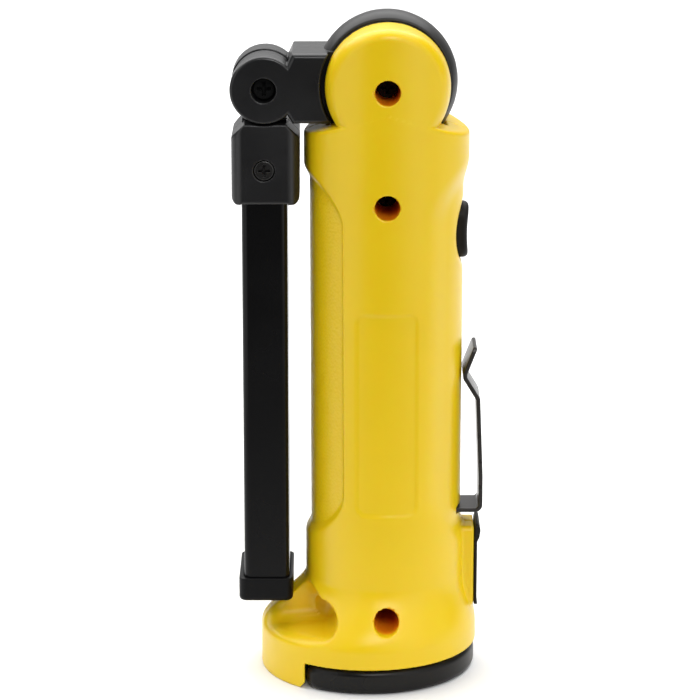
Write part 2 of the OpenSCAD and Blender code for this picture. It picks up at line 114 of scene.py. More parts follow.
@dataclass(frozen=True)
class Form:
    """A solid, as a function that gives the signed distance to its surface in millimetres."""

    at: Distance

    def __or__(self, other: "Form") -> "Form":
        """The two forms as one, with a sharp inner corner."""
        return self.joined(other, 0.0)

    def joined(self, other: "Form", fillet: float) -> "Form":
        """The two forms as one, with a hollow fillet."""
        return Form(lambda x, y, z: join(self.at(x, y, z), other.at(x, y, z), fillet))

    def cut(self, other: "Form", edge: float = 0.0) -> "Form":
        """This form less the other, with a rounded edge."""
        return Form(lambda x, y, z: carve(self.at(x, y, z), other.at(x, y, z), edge))

    def kept(self, other: "Form", edge: float = 0.0) -> "Form":
        """What lies in both forms, with a rounded edge."""
        return Form(lambda x, y, z: meet(self.at(x, y, z), other.at(x, y, z), edge))


def disc(u0: float, v0: float, radius: float) -> Profile:
    """A round outline."""
    return lambda u, v: np.hypot(u - u0, v - v0) - radius


def plate(u0: float, v0: float, width: float, height: float, corner: float) -> Profile:
    """A rectangular outline with round corners.

    Args:
        u0: Middle along the first axis.
        v0: Middle along the second axis.
        width: Size along the first axis.
        height: Size along the second axis.
        corner: Radius of the corners.

    Returns:
        The outline.
    """

    def distance(u: Array, v: Array) -> Array:
        """Distance to the rectangle.

        Args:
            u: Places along the first axis.
            v: Places along the second axis.

        Returns:
            The distance at each place.
        """
        du = np.abs(u - u0) - width / 2 + corner
        dv = np.abs(v - v0) - height / 2 + corner
        return np.hypot(np.maximum(du, 0), np.maximum(dv, 0)) + np.minimum(np.maximum(du, dv), 0) - corner

    return distance


def outline(points: Sequence[Point]) -> Profile:
    """A closed outline through any points.

    Args:
        points: The corners, in order, without the first one again.

    Returns:
        The outline.
    """

    def distance(u: Array, v: Array) -> Array:
        """Distance to the outline, negative inside.

        Args:
            u: Places along the first axis.
            v: Places along the second axis.

        Returns:
            The distance at each place.
        """
        u, v = np.broadcast_arrays(u, v)
        nearest = np.full(u.shape, FAR * FAR)
        inside = np.zeros(u.shape, bool)
        for (u0, v0), (u1, v1) in zip(points, [*points[1:], points[0]]):
            du, dv = u1 - u0, v1 - v0
            along = np.clip(((u - u0) * du + (v - v0) * dv) / (du * du + dv * dv), 0, 1)
            nearest = np.minimum(nearest, (u - u0 - along * du) ** 2 + (v - v0 - along * dv) ** 2)
            if v0 != v1:
                inside ^= ((v0 > v) != (v1 > v)) & (u < du * (v - v0) / dv + u0)
        return np.where(inside, -1, 1) * np.sqrt(nearest)

    return distance


def ribbon(points: Sequence[Point], half: float) -> Profile:
    """A strip of even thickness along a path, with round ends and bends.

    Args:
        points: The path.
        half: Half of the thickness.

    Returns:
        The outline.
    """

    def distance(u: Array, v: Array) -> Array:
        """Distance to the strip.

        Args:
            u: Places along the first axis.
            v: Places along the second axis.

        Returns:
            The distance at each place.
        """
        nearest = FAR * FAR
        for (u0, v0), (u1, v1) in zip(points, points[1:]):
            du, dv = u1 - u0, v1 - v0
            along = np.clip(((u - u0) * du + (v - v0) * dv) / (du * du + dv * dv), 0, 1)
            nearest = np.minimum(nearest, (u - u0 - along * du) ** 2 + (v - v0 - along * dv) ** 2)
        return np.sqrt(nearest) - half

    return distance


def fused(fillet: float, first: Profile, *others: Profile) -> Profile:
    """Outlines joined with a hollow fillet.

    Args:
        fillet: Radius of the fillet where two outlines meet.
        first: The first outline.
        others: The outlines that join it.

    Returns:
        The joined outline.
    """

    def distance(u: Array, v: Array) -> Array:
        """Distance to the joined outlines.

        Args:
            u: Places along the first axis.
            v: Places along the second axis.

        Returns:
            The distance at each place.
        """
        whole = first(u, v)
        for other in others:
            whole = join(whole, other(u, v), fillet)
        return whole

    return distance


def slab(t: Array, low: float, high: float) -> Array:
    """Distance to the layer between two planes."""
    return np.abs(t - (low + high) / 2) - (high - low) / 2


def along_x(profile: Profile, low: float, high: float, edge: float = 0.0) -> Form:
    """An outline in (y, z) pushed along x, with rounded rims."""
    return Form(lambda x, y, z: meet(profile(y, z), slab(x, low, high), edge))


def along_y(profile: Profile, low: float, high: float, edge: float = 0.0) -> Form:
    """An outline in (x, z) pushed along y, with rounded rims."""
    return Form(lambda x, y, z: meet(profile(x, z), slab(y, low, high), edge))


def along_z(profile: Profile, low: float, high: float, edge: float = 0.0) -> Form:
    """An outline in (x, y) pushed along z, with rounded rims."""
    return Form(lambda x, y, z: meet(profile(x, y), slab(z, low, high), edge))


def block_of(x: Point, y: Point, z: Point, edge: float = 0.0) -> Form:
    """A box between two places on each axis, with rounded edges."""
    return Form(lambda px, py, pz: meet(meet(slab(px, *x), slab(py, *y), edge), slab(pz, *z), edge))


# ---------------------------------------------------------------- casting forms into meshes

CORNERS = [(i, j, k) for i in (0, 1) for j in (0, 1) for k in (0, 1)]
EDGES = [(a, b) for a in CORNERS for b in CORNERS if a < b and sum(map(abs, np.subtract(a, b))) == 1]


@dataclass(frozen=True)
class Grain:
    """How finely a form is cast along each axis: steps in millimetres, and zones that take the fine step."""

    fine: float
    coarse: float
    fine_x: tuple[Point, ...] = ()
    fine_y: tuple[Point, ...] = ()
    fine_z: tuple[Point, ...] = ()

    def marks(self, low: float, high: float, zones: tuple[Point, ...]) -> Array:
        """The places of the grid's planes along one axis.

        Args:
            low: The box's lower end.
            high: The box's upper end.
            zones: Stretches that take the fine step; none means fine all along.

        Returns:
            The places, in order.
        """
        places = [low - 2 * self.fine]
        while places[-1] < high + 2 * self.fine:
            here = places[-1]
            fine = not zones or any(a - self.fine <= here <= b + self.fine for a, b in zones)
            places.append(here + (self.fine if fine else self.coarse))
        return np.array(places)

    def planes(self, low: Sequence[float], high: Sequence[float]) -> list[Array]:
        """The grid's planes along x, y and z around a box."""
        zones = (self.fine_x, self.fine_y, self.fine_z)
        return [self.marks(a, b, zone) for a, b, zone in zip(low, high, zones)]


def slopes(form: Form, p: Array, reach: float = 0.03) -> Array:
    """The form's gradient at points p, by central differences.

    Args:
        form: The solid.
        p: One row for each point.
        reach: Half of the step between the two samples.

    Returns:
        One row for each point.
    """
    grown = []
    for axis in range(3):
        step = np.zeros(3)
        step[axis] = reach
        grown.append((form.at(*(p + step).T) - form.at(*(p - step).T)) / (2 * reach))
    return np.stack(grown, axis=1)


def settle(form: Form, p: Array, limit: float, rounds: int = 4) -> Array:
    """Moves points onto the form's surface, none further than the limit in a round.

    Args:
        form: The solid.
        p: One row for each point.
        limit: The longest move in one round.
        rounds: How often the points move.

    Returns:
        The moved points.
    """
    for _ in range(rounds):
        slope = slopes(form, p)
        move = slope * (form.at(*p.T) / np.maximum((slope**2).sum(1), 0.05))[:, None]
        length = np.linalg.norm(move, axis=1, keepdims=True)
        p = p - move * np.minimum(1, limit / np.maximum(length, 1e-9))
    return p


def net(form: Form, planes: Sequence[Array]) -> tuple[Array, Array]:
    """Wraps a form's surface in a net of quads.

    Args:
        form: The solid.
        planes: The grid's planes along x, y and z.

    Returns:
        The net's points in millimetres, and four point numbers for each face.
    """
    xs, ys, zs = planes
    field = form.at(xs[:, None, None], ys[None, :, None], zs[None, None, :]).astype(np.float32)
    solid = field < 0
    size = tuple(n - 1 for n in solid.shape)

    def corner(values: Array, shift: tuple[int, int, int]) -> Array:
        """The values at one corner of every cell."""
        return values[tuple(slice(s, s + n) for s, n in zip(shift, size))]

    filled = sum(corner(solid, shift).astype(np.int8) for shift in CORNERS)
    cells = np.argwhere((filled > 0) & (filled < 8))
    number = np.full(size, -1)
    number[tuple(cells.T)] = np.arange(len(cells))
    total = np.zeros((len(cells), 3))
    count = np.zeros(len(cells))
    for a, b in EDGES:
        ends = [cells + np.array(e) for e in (a, b)]
        da, db = (field[tuple(e.T)] for e in ends)
        share = np.where((da < 0) != (db < 0), da / np.where(da == db, 1, da - db), 0)
        place = [np.stack([axis[e[:, i]] for i, axis in enumerate(planes)], axis=1) for e in ends]
        crossed = (da < 0) != (db < 0)
        total += np.where(crossed[:, None], place[0] + share[:, None] * (place[1] - place[0]), 0)
        count += crossed
    points = total / count[:, None]
    faces = []
    for axis in range(3):
        after = [slice(1, -1)] * 3
        before = [slice(1, -1)] * 3
        before[axis], after[axis] = slice(0, -1), slice(1, None)
        start, end = solid[tuple(before)], solid[tuple(after)]
        for inward, found in ((False, start & ~end), (True, ~start & end)):
            at = np.argwhere(found) + 1
            at[:, axis] -= 1
            u, v = [i for i in range(3) if i != axis]
            ring = []
            for du, dv in ((1, 1), (0, 1), (0, 0), (1, 0)):
                cell = at.copy()
                cell[:, u] -= du
                cell[:, v] -= dv
                ring.append(number[tuple(cell.T)])
            quad = np.stack(ring, axis=1)
            faces.append(quad if inward != (axis != 1) else quad[:, ::-1])
    return points, np.concatenate(faces)


def mesh_object(name: str, points: Array, faces: Array, normals: Array | None) -> bpy.types.Object:
    """Makes a smooth-shaded object from points in millimetres and faces of one size.

    Args:
        name: The object's name.
        points: One row for each point.
        faces: One row of point numbers for each face.
        normals: The surface's direction at each point, or None to let the faces give it.

    Returns:
        The object, linked to the scene, with its place in its mesh.
    """
    mesh = bpy.data.meshes.new(name)
    mesh.vertices.add(len(points))
    mesh.vertices.foreach_set("co", (points * MM).astype(np.float32).ravel())
    mesh.loops.add(faces.size)
    mesh.loops.foreach_set("vertex_index", faces.astype(np.int32).ravel())
    mesh.polygons.add(len(faces))
    mesh.polygons.foreach_set("loop_start", np.arange(0, faces.size, faces.shape[1], dtype=np.int32))
    mesh.update(calc_edges=True)
    mesh.validate()
    mesh.shade_smooth()
    if normals is not None and len(mesh.vertices) == len(normals):
        mesh.normals_split_custom_set_from_vertices(normals)
    piece = bpy.data.objects.new(name, mesh)
    bpy.context.scene.collection.objects.link(piece)
    return piece


def cast(
    name: str, form: Form, low: Sequence[float], high: Sequence[float], grain: Grain
) -> bpy.types.Object:
    """Casts a form into a mesh whose points lie on the surface and whose normals are the surface's own.

    Args:
        name: The piece's name.
        form: The solid, in millimetres.
        low: Lowest corner of a box that holds it.
        high: Highest corner of that box.
        grain: How finely it is cast.

    Returns:
        The piece.
    """
    points, faces = net(form, grain.planes(low, high))
    points = settle(form, points, grain.fine / 2)
    normals = slopes(form, points, grain.fine / 4)
    normals /= np.maximum(np.linalg.norm(normals, axis=1, keepdims=True), 1e-9)
    piece = mesh_object(name, points, faces, normals)
    log.info("%s: %d faces", name, len(faces))
    return piece


def node_box(*nodes: str) -> tuple[list[float], list[float]]:
    """The box in millimetres round some CAD nodes.

    Args:
        nodes: The nodes' names.

    Returns:
        The lowest and the highest corner.
    """
    corners = [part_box(node) for node in nodes]
    low = [min(c[0][i] for c in corners) / MM for i in range(3)]
    high = [max(c[1][i] for c in corners) / MM for i in range(3)]
    return low, high


def joint_at(name: str) -> tuple[float, float]:
    """The x and z of a hinge's axis in millimetres."""
    spot = next(joint["pos_m"] for joint in frame["joints"] if joint["name"] == name)
    return spot[0] / MM, spot[2] / MM


def place(piece: bpy.types.Object, body: Body, slot: str, *nodes: str) -> None:
    """Lets a piece ride on its body, and hides the CAD nodes that it stands for.

    Args:
        piece: The finished piece.
        body: The body that carries it.
        slot: Not used.
        nodes: The CAD nodes that it stands for, or none for an addition.
    """
    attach(piece, body.value)
    if nodes:
        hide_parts(*nodes)


# ---------------------------------------------------------------- finishes


@dataclass(frozen=True)
class Finish:
    """A surface: colour, gloss, and the bump and mottle that its making leaves.

    Sizes of patterns are in repeats per metre, because Object coordinates are in metres.
    """

    name: str
    colour: tuple[float, float, float]
    roughness: float
    metallic: float = 0.0
    specular: float = 0.5
    mottle: float = 0.06
    mottle_scale: float = 60.0
    bump: float = 0.05
    bump_scale: float = 2500.0
    bump_depth: float = 0.00004
    rough_spread: float = 0.06

    def shader(self) -> tuple[bpy.types.Material, bpy.types.Node]:
        """A new node material, and its Principled shader with this finish's own values.

        Returns:
            The material and its shader.
        """
        material = bpy.data.materials.new(self.name)
        material.use_nodes = True
        shader = material.node_tree.nodes["Principled BSDF"]
        shader.inputs["Base Color"].default_value = (*self.colour, 1)
        shader.inputs["Roughness"].default_value = self.roughness
        shader.inputs["Metallic"].default_value = self.metallic
        shader.inputs["Specular IOR Level"].default_value = self.specular
        return material, shader

    def material(self) -> bpy.types.Material:
        """The finish with its mottle, its uneven gloss and its fine bump.

        Returns:
            The material, ready to use.
        """
        material, shader = self.shader()
        tree = material.node_tree
        spot = tree.nodes.new("ShaderNodeTexCoord").outputs["Object"]
        wide = noise(tree, spot, self.mottle_scale, 3)
        dark, light = self.shade(1 - self.mottle), self.shade(1 + self.mottle)
        link_ramp(tree, wide, shader.inputs["Base Color"], dark, light)
        fine = noise(tree, spot, self.bump_scale, 4)
        spread(tree, wide, shader.inputs["Roughness"], self.roughness, self.rough_spread)
        bump = tree.nodes.new("ShaderNodeBump")
        bump.inputs["Strength"].default_value = self.bump
        bump.inputs["Distance"].default_value = self.bump_depth
        tree.links.new(fine, bump.inputs["Height"])
        self.dress_bump(tree, spot, bump)
        tree.links.new(bump.outputs["Normal"], shader.inputs["Normal"])
        return material

    def dress_bump(self, tree: bpy.types.NodeTree, spot: bpy.types.NodeSocket, bump: bpy.types.Node) -> None:
        """Room for a finish that adds more to the bump; a plain finish adds nothing."""

    def shade(self, by: float) -> tuple[float, float, float, float]:
        """The colour made lighter or darker."""
        return (*(min(1.0, channel * by) for channel in self.colour), 1.0)


def noise(
    tree: bpy.types.NodeTree, where: bpy.types.NodeSocket, scale: float, detail: float
) -> bpy.types.NodeSocket:
    """A noise pattern of that many repeats per metre.

    Args:
        tree: The material's tree.
        where: The coordinates that it reads.
        scale: Repeats per metre.
        detail: How many finer layers it has.

    Returns:
        The pattern's value.
    """
    node = tree.nodes.new("ShaderNodeTexNoise")
    node.inputs["Scale"].default_value = scale
    node.inputs["Detail"].default_value = detail
    tree.links.new(where, node.inputs["Vector"])
    return node.outputs["Fac"]


def link_ramp(
    tree: bpy.types.NodeTree,
    driver: bpy.types.NodeSocket,
    target: bpy.types.NodeSocket,
    dark: tuple[float, float, float, float],
    light: tuple[float, float, float, float],
) -> bpy.types.ColorRamp:
    """Lets a pattern run a colour from dark to light.

    Args:
        tree: The material's tree.
        driver: The pattern.
        target: The colour socket that it runs.
        dark: The colour at low values.
        light: The colour at high values.

    Returns:
        The ramp between the two.
    """
    ramp = tree.nodes.new("ShaderNodeValToRGB")
    ramp.color_ramp.elements[0].position = 0.3
    ramp.color_ramp.elements[1].position = 0.7
    ramp.color_ramp.elements[0].color = dark
    ramp.color_ramp.elements[1].color = light
    tree.links.new(driver, ramp.inputs["Fac"])
    tree.links.new(ramp.outputs["Color"], target)
    return ramp.color_ramp


def spread(
    tree: bpy.types.NodeTree,
    driver: bpy.types.NodeSocket,
    target: bpy.types.NodeSocket,
    middle: float,
    by: float,
) -> None:
    """Lets a pattern move a value to both sides of its middle.

    Args:
        tree: The material's tree.
        driver: The pattern.
        target: The socket that it moves.
        middle: The value in the middle.
        by: How far it moves to either side.
    """
    span = tree.nodes.new("ShaderNodeMapRange")
    span.inputs["From Min"].default_value = 0.3
    span.inputs["From Max"].default_value = 0.7
    span.inputs["To Min"].default_value = max(0.0, middle - by)
    span.inputs["To Max"].default_value = middle + by
    tree.links.new(driver, span.inputs["Value"])
    tree.links.new(span.outputs["Result"], target)


@dataclass(frozen=True)
class GrippedPlastic(Finish):
    """Moulded plastic with a leather grain wherever the piece's 'grip' attribute says so, and a painted orange
    glow wherever its 'bore' attribute says so.
    """

    leather_scale: float = 1250.0
    leather_depth: float = 0.00022
    glow: float = 0.25
    glow_reach: float = 0.002
    # painted light: the orange glow colour for the bores and the scoops
    deep: tuple[float, float, float] = (0.86, 0.3, 0.006)

    def shader(self) -> tuple[bpy.types.Material, bpy.types.Node]:
        """The plain shader with light that wanders inside the plastic and comes out redder.

        Returns:
            The material and its shader.
        """
        material, shader = super().shader()
        shader.inputs["Subsurface Weight"].default_value = self.glow
        shader.inputs["Subsurface Radius"].default_value = (1.0, 0.35, 0.05)
        shader.inputs["Subsurface Scale"].default_value = self.glow_reach
        return material, shader

    def dress_bump(self, tree: bpy.types.NodeTree, spot: bpy.types.NodeSocket, bump: bpy.types.Node) -> None:
        """Adds the leather grain in front of the fine bump.

        Args:
            tree: The material's tree.
            spot: Object coordinates.
            bump: The fine bump.
        """
        cells = tree.nodes.new("ShaderNodeTexVoronoi")
        cells.feature = "SMOOTH_F1"
        cells.inputs["Scale"].default_value = self.leather_scale
        cells.inputs["Smoothness"].default_value = 0.6
        tree.links.new(spot, cells.inputs["Vector"])
        grip = tree.nodes.new("ShaderNodeAttribute")
        grip.attribute_name = "grip"
        held = tree.nodes.new("ShaderNodeMath")
        held.operation = "MULTIPLY"
        tree.links.new(cells.outputs["Distance"], held.inputs[0])
        tree.links.new(grip.outputs["Fac"], held.inputs[1])
        leather = tree.nodes.new("ShaderNodeBump")
        leather.inputs["Strength"].default_value = 0.6
        leather.inputs["Distance"].default_value = self.leather_depth
        tree.links.new(held.outputs["Value"], leather.inputs["Height"])
        tree.links.new(leather.outputs["Normal"], bump.inputs["Normal"])
        self.dress_painted_glow(tree)

    def dress_painted_glow(self, tree: bpy.types.NodeTree) -> None:
        """Paints an orange glow into the colour inside deep holes and the scoops: painted light that stands in for
        light passing through the plastic and bouncing inside.

        Args:
            tree: The material's tree, whose colour is already linked.
        """
        colour = tree.nodes["Principled BSDF"].inputs["Base Color"]
        # painted light: the 'bore' attribute mixes the painted orange glow into the colour
        mix = tree.nodes.new("ShaderNodeMixRGB")
        mix.inputs["Color2"].default_value = (*self.deep, 1)
        bore = tree.nodes.new("ShaderNodeAttribute")
        bore.attribute_name = "bore"
        tree.links.new(bore.outputs["Fac"], mix.inputs["Fac"])
        tree.links.new(colour.links[0].from_socket, mix.inputs["Color1"])
        tree.links.new(mix.outputs["Color"], colour)


YELLOW = GrippedPlastic(
    "yellow plastic", (0.79, 0.545, 0.004), 0.33, specular=0.42, mottle=0.012, bump=0.03, rough_spread=0.03
)
BLACK = Finish(
    "black grained plastic", (0.0082, 0.0082, 0.0088), 0.32, specular=0.46, bump=0.3, bump_scale=4200
)
PANEL_BLACK = Finish("gloss black plastic", (0.004, 0.004, 0.0042), 0.2, specular=0.16, bump=0.04, mottle=0.1)
GREY = Finish("grey satin plastic", (0.021, 0.0205, 0.02), 0.42, specular=0.25, bump=0.12, bump_scale=3600)
# the foot's own warm black, painted darker as painted shade against light bounced from the floor
FOOT_BLACK_PAINTED_SHADE = Finish("foot plastic with painted shade", (0.0075, 0.007, 0.0066), 0.3, specular=0.2, bump=0.12, bump_scale=3600)
# black plastic painted darker as painted shade, against light bounced from the floor onto the end cap
CAP_BLACK_PAINTED_SHADE = Finish(
    "end cap plastic with painted shade", (0.0045, 0.0045, 0.0048), 0.32, specular=0.12, bump=0.15, bump_scale=3800
)
RUBBER = Finish("black rubber", (0.012, 0.011, 0.0098), 0.5, specular=0.13, bump=0.2, bump_scale=3000)
SPRING = Finish("black spring steel", (0.034, 0.031, 0.03), 0.3, metallic=0.55, bump=0.1, bump_scale=1800)
# black steel of its own, painted darker still as painted shade, so the screws down their bores read as shadowed
# holes
DARK_STEEL_PAINTED_SHADE = Finish("black oxide with painted shade", (0.005, 0.005, 0.005), 0.5, metallic=0.1, specular=0.15, bump=0.15)
BRIGHT_STEEL = Finish("black zinc", (0.05, 0.049, 0.048), 0.28, metallic=0.85, bump=0.15)
STEEL = Finish("turned steel", (0.55, 0.55, 0.56), 0.3, metallic=1.0, bump=0.1)
NICKEL = Finish("nickel plate", (0.62, 0.6, 0.56), 0.18, metallic=1.0, bump=0.04)
ALUMINIUM = Finish("rolled aluminium", (0.7, 0.71, 0.72), 0.35, metallic=1.0, bump=0.1)
WHITE = Finish("white reflector", (0.82, 0.82, 0.8), 0.3)
PHOSPHOR = Finish("phosphor gel", (0.85, 0.62, 0.06), 0.35)
CHIP_GEL = Finish("chip gel", (0.9, 0.72, 0.12), 0.22)
WIRE = Finish("red wire", (0.45, 0.01, 0.01), 0.4)
WRAP = Finish("cell wrap", (0.02, 0.1, 0.4), 0.25)
MASK_GREEN = Finish("solder mask", (0.005, 0.12, 0.04), 0.3)
CHIP = Finish("chip resin", (0.02, 0.02, 0.02), 0.5)


@dataclass(frozen=True)
class ClearPlastic(Finish):
    """Moulded clear plastic that light passes through."""

    def shader(self) -> tuple[bpy.types.Material, bpy.types.Node]:
        """The plain shader made clear.

        Returns:
            The material and its shader.
        """
        material, shader = super().shader()
        shader.inputs["Transmission Weight"].default_value = 0.97
        shader.inputs["IOR"].default_value = 1.49
        return material, shader


LENS = ClearPlastic("clear plastic", (0.93, 0.95, 0.96), 0.06, mottle=0.0, rough_spread=0.03)


def dress(piece: bpy.types.Object, material: bpy.types.Material) -> None:
    """Gives a piece one material."""
    piece.data.materials.clear()
    piece.data.materials.append(material)


# ---------------------------------------------------------------- handle


@dataclass
class Handle:
    """The yellow shells: round handle, cheeks, flared base, heel and port boss."""

    radius: float = 22.9
    taper: float = 0.002
    grip_radius: float = 21.35
    recess_middle: float = 93.2
    recess_half: float = 53.2
    recess_width: float = 39.0
    recess_corner: float = 14.5
    label_depth: float = 0.42
    label_middle: float = 78.9
    label_size: Point = (16.5, 57.5)
    label_corner: float = 2.4
    label_border: float = 1.4
    ledge: float = 158.9
    ledge_x: float = 14.0
    ledge_slope: float = 0.36
    cheek_radius: float = 17.25
    cheek_round: float = 3.0
    cheek_shift: float = 0.15
    cheek_drop: float = 8.0
    rear_cheek_less: float = 0.45
    slot: float = 7.2
    wall: float = 2.5
    base_radius: float = 30.74
    base_x: float = -4.86
    rim: float = 7.4
    flare_top: float = 28.5
    flare_end: float = 12.0
    flare_span: float = 68.0
    flare_stretch: float = 0.3
    web: float = 5.3
    web_fillet: float = 4.2
    scoop: tuple[float, float, float] = (-18.2, 19.5, 4.4)
    heel_x: float = -22.9
    heel_top: float = 12.0
    lug_radius: float = 3.4
    lug_half: float = 8.8
    lug_top: float = 9.0
    boss_top: float = 42.0
    boss_x: float = 25.1
    plug_hole: tuple[float, float, float, float] = (31.2, 9.6, 4.6, 1.6)
    button_hole: tuple[float, float, float, float] = (127.2, 10.2, 17.0, 4.5)
    clip_slit_half: float = 6.8
    clip_slit_z: Point = (46.1, 48.1)
    dish_spot: Point = (41.6, 127.0)
    dish_radius: float = 22.4
    screw_hole: float = 1.65
    thread_hole: float = 1.5
    thread_end: float = 12.0
    seam: float = 0.04
    room_z: Point = (31, 146)
    post: float = 5.2
    drum_room_radius: float = 20.2
    head_bore: float = 3.45
    bores: tuple[tuple[float, float], ...] = ((169.4, -10.4), (137.8, -4.5), (20.1, -4.5))

    def round_at(self, z: Array) -> tuple[Array, Array]:
        """The centre's x and the radius of the outside at each height.

        Args:
            z: Heights.

        Returns:
            The centre's x and the radius, one of each for each height.
        """
        share = np.clip((self.flare_top - z) / (self.flare_top - self.flare_end), 0, 1)
        share = share * share * (3 - 2 * share)
        shaft = self.radius - 0.12 + self.taper * np.clip(z - 30, 0, 127)
        return self.base_x * share, shaft + (self.base_radius - shaft) * share

    def tower(self) -> Form:
        """Shaft, flare and base as one turned form, from the base's rim to the ledge.

        Returns:
            The form.
        """

        def distance(x: Array, y: Array, z: Array) -> Array:
            """Distance to the turned form.

            Args:
                x: Places along x.
                y: Places along y.
                z: Heights.

            Returns:
                The distance at each place.
            """
            centre, radius = self.round_at(z)
            radius = radius - (self.radius - self.grip_radius) * self.recess(x, y, z) - self.label(x, y, z)
            side = np.hypot(x - centre, y) - radius
            slope = np.clip((self.flare_top - z) * (z - self.flare_end) / self.flare_span, 0, 1)
            side = side / (1 + self.flare_stretch * slope)
            above = z - self.ledge + self.ledge_slope * (np.abs(x) - self.ledge_x)
            roof = above / math.hypot(1, self.ledge_slope)
            return meet(meet(side, roof, 0.8), self.rim - z, 0.5)

        return Form(distance)

    def cheeks(self) -> Form:
        """The two round cheeks before the drum's slot is cut, with a soft outer rim.

        Returns:
            The form.
        """
        drum_x, drum_z = joint_at("drum_hinge")
        rim = disc(drum_x + self.cheek_shift, drum_z - self.cheek_shift, self.cheek_radius)

        def distance(x: Array, y: Array, z: Array) -> Array:
            """Distance to both cheeks, of which the rear one is a little smaller.

            Args:
                x: Places along x.
                y: Places along y.
                z: Heights.

            Returns:
                The distance at each place.
            """
            side = np.hypot(x, y) - self.radius - 0.08
            cheek = rim(x, z) + self.rear_cheek_less * (y > 0)
            return np.maximum(meet(side, cheek, self.cheek_round), self.ledge - self.cheek_drop - z)

        return Form(distance)

    def heel(self) -> Form:
        """The heel beside the foot, with the lug for the foot's pin.

        Returns:
            The form.
        """
        foot_x, foot_z = joint_at("foot_hinge")
        edge = self.heel_x
        top = self.heel_top
        chord = outline([(edge - 1.9, -1), (-FAR, -1), (-FAR, top), (edge, top), (edge, 1.9)])
        heel = Form(
            lambda x, y, z: meet(
                meet(np.hypot(x - self.base_x, y) - self.base_radius, slab(z, 0, top), 0.45), chord(x, z), 0.4
            )
        )
        r, half = self.lug_radius, self.lug_half
        barrel = along_y(disc(foot_x, foot_z, r), -half, half, 0.3)
        lug = block_of((foot_x - r, foot_x + r), (-half, half), (foot_z, self.lug_top), 0.2)
        return heel | barrel | lug

    def port_boss(self) -> Form:
        """The flat boss round the charging port.

        Returns:
            The form.
        """
        low, high = node_box("port_cover")
        face = plate(0, (low[2] + self.boss_top) / 2, high[1] - low[1], self.boss_top - low[2], 1.5)
        return along_x(face, 10, self.boss_x, 0.5)

    def recess(self, x: Array, y: Array, z: Array) -> Array:
        """How deep the long side recesses are at a place: 0 outside, 1 on their floor, with a ramp all round.

        The left ramp is narrow; the right one is wide, so that it barely shows.

        Args:
            x: Places along x.
            y: Places along y.
            z: Heights.

        Returns:
            The share of the full depth at each place.
        """
        middle, half = self.recess_middle, self.recess_half
        ramp = 2.2 + 2.0 * np.clip((np.abs(z - middle) - half + 14) / 12, 0, 1)
        depth = -plate(0, middle, self.recess_width, 2 * half, self.recess_corner)(y, z)
        left = np.clip((depth + 0.3) / (ramp + 0.4), 0, 1)
        right = np.clip((depth + 2.2) / 8.4, 0, 1)
        share = np.where(x < 0, left, right)
        return share * share * (3 - 2 * share)

    def label(self, x: Array, y: Array, z: Array) -> Array:
        """How deep the plain label panels on the front and the rear are at a place, with a soft border.

        Args:
            x: Places along x.
            y: Places along y.
            z: Heights.

        Returns:
            The depth at each place.
        """
        panel = plate(0, self.label_middle, *self.label_size, self.label_corner)
        inward = np.clip(0.5 - panel(x, z) / self.label_border, 0, 1)
        return self.label_depth * inward * inward * (3 - 2 * inward) * (np.abs(y) > 6)

    def scoops(self) -> Form:
        """The finger scoops on both sides of the heel's web.

        Returns:
            The form to cut away.
        """
        x0, z0, r = self.scoop
        lip = outline(
            [(x0, z0 - r), (-33, 13.7), (-REACH, 13.2), (-REACH, 29.1), (-24.5, 29.1), (-17.4, 23.2),
             (x0 + r * 0.62, z0 + r * 0.784), (x0, z0)]
        )
        profile = fused(0.0, disc(x0, z0, r), lip)
        return Form(lambda x, y, z: meet(profile(x, z), self.web - np.abs(y), self.web_fillet))

    def scooped(self, whole: Form) -> Form:
        """The handle less its scoops, whose rim is crisp at the right and soft along the lower left.

        Args:
            whole: The handle before the scoops.

        Returns:
            The handle with them.
        """
        scoops = self.scoops()

        def distance(x: Array, y: Array, z: Array) -> Array:
            """Distance to what the scoops leave."""
            soft = np.clip((-14.5 - x) / 8, 0, 1) * np.clip((22 - z) / 5, 0, 1)
            return carve(whole.at(x, y, z), scoops.at(x, y, z), 0.5 + 2.4 * soft)

        return Form(distance)

    def hollow(self) -> Form:
        """The space for the cell and the board, and the base's hollow, round the screw posts.

        Returns:
            The form to cut away.
        """
        inner = self.grip_radius - self.wall
        room = along_z(disc(0, 0, inner), *self.room_z, 0.5)
        pocket = along_z(disc(0, 0, inner), 22, 34).kept(block_of((9, REACH), (-12.5, 12.5), (20, 40)))
        base = along_z(disc(2.5, 0, 13.5), 10.5, 31.5)
        (_, _), (upper, _), (lower, _) = self.bores
        posts = along_y(disc(0, upper, self.post), -FAR, FAR) | along_y(disc(0, lower, self.post), -FAR, FAR)
        return (room | pocket | base).cut(posts)

    def drum_room(self) -> Form:
        """The slot between the cheeks with the round pocket below it.

        Returns:
            The form to cut away.
        """
        drum_x, drum_z = joint_at("drum_hinge")
        open_top = block_of((-REACH, REACH), (-self.slot, self.slot), (self.ledge, 220))
        return along_y(disc(drum_x, drum_z, self.drum_room_radius), -self.slot, self.slot) | open_top

    def ports(self) -> Form:
        """Holes for the plug, the button and the clip's foot.

        Returns:
            The form to cut away.
        """
        plug = along_x(plate(0, *self.plug_hole), 19, REACH)
        press = along_x(plate(0, *self.button_hole), 17, REACH)
        slit = block_of((15.9, REACH), (-self.clip_slit_half, self.clip_slit_half), self.clip_slit_z)
        return plug | press | slit

    def dish(self) -> Form:
        """The hollow in which the button sits."""
        return along_y(disc(*self.dish_spot, self.dish_radius), -REACH, REACH)

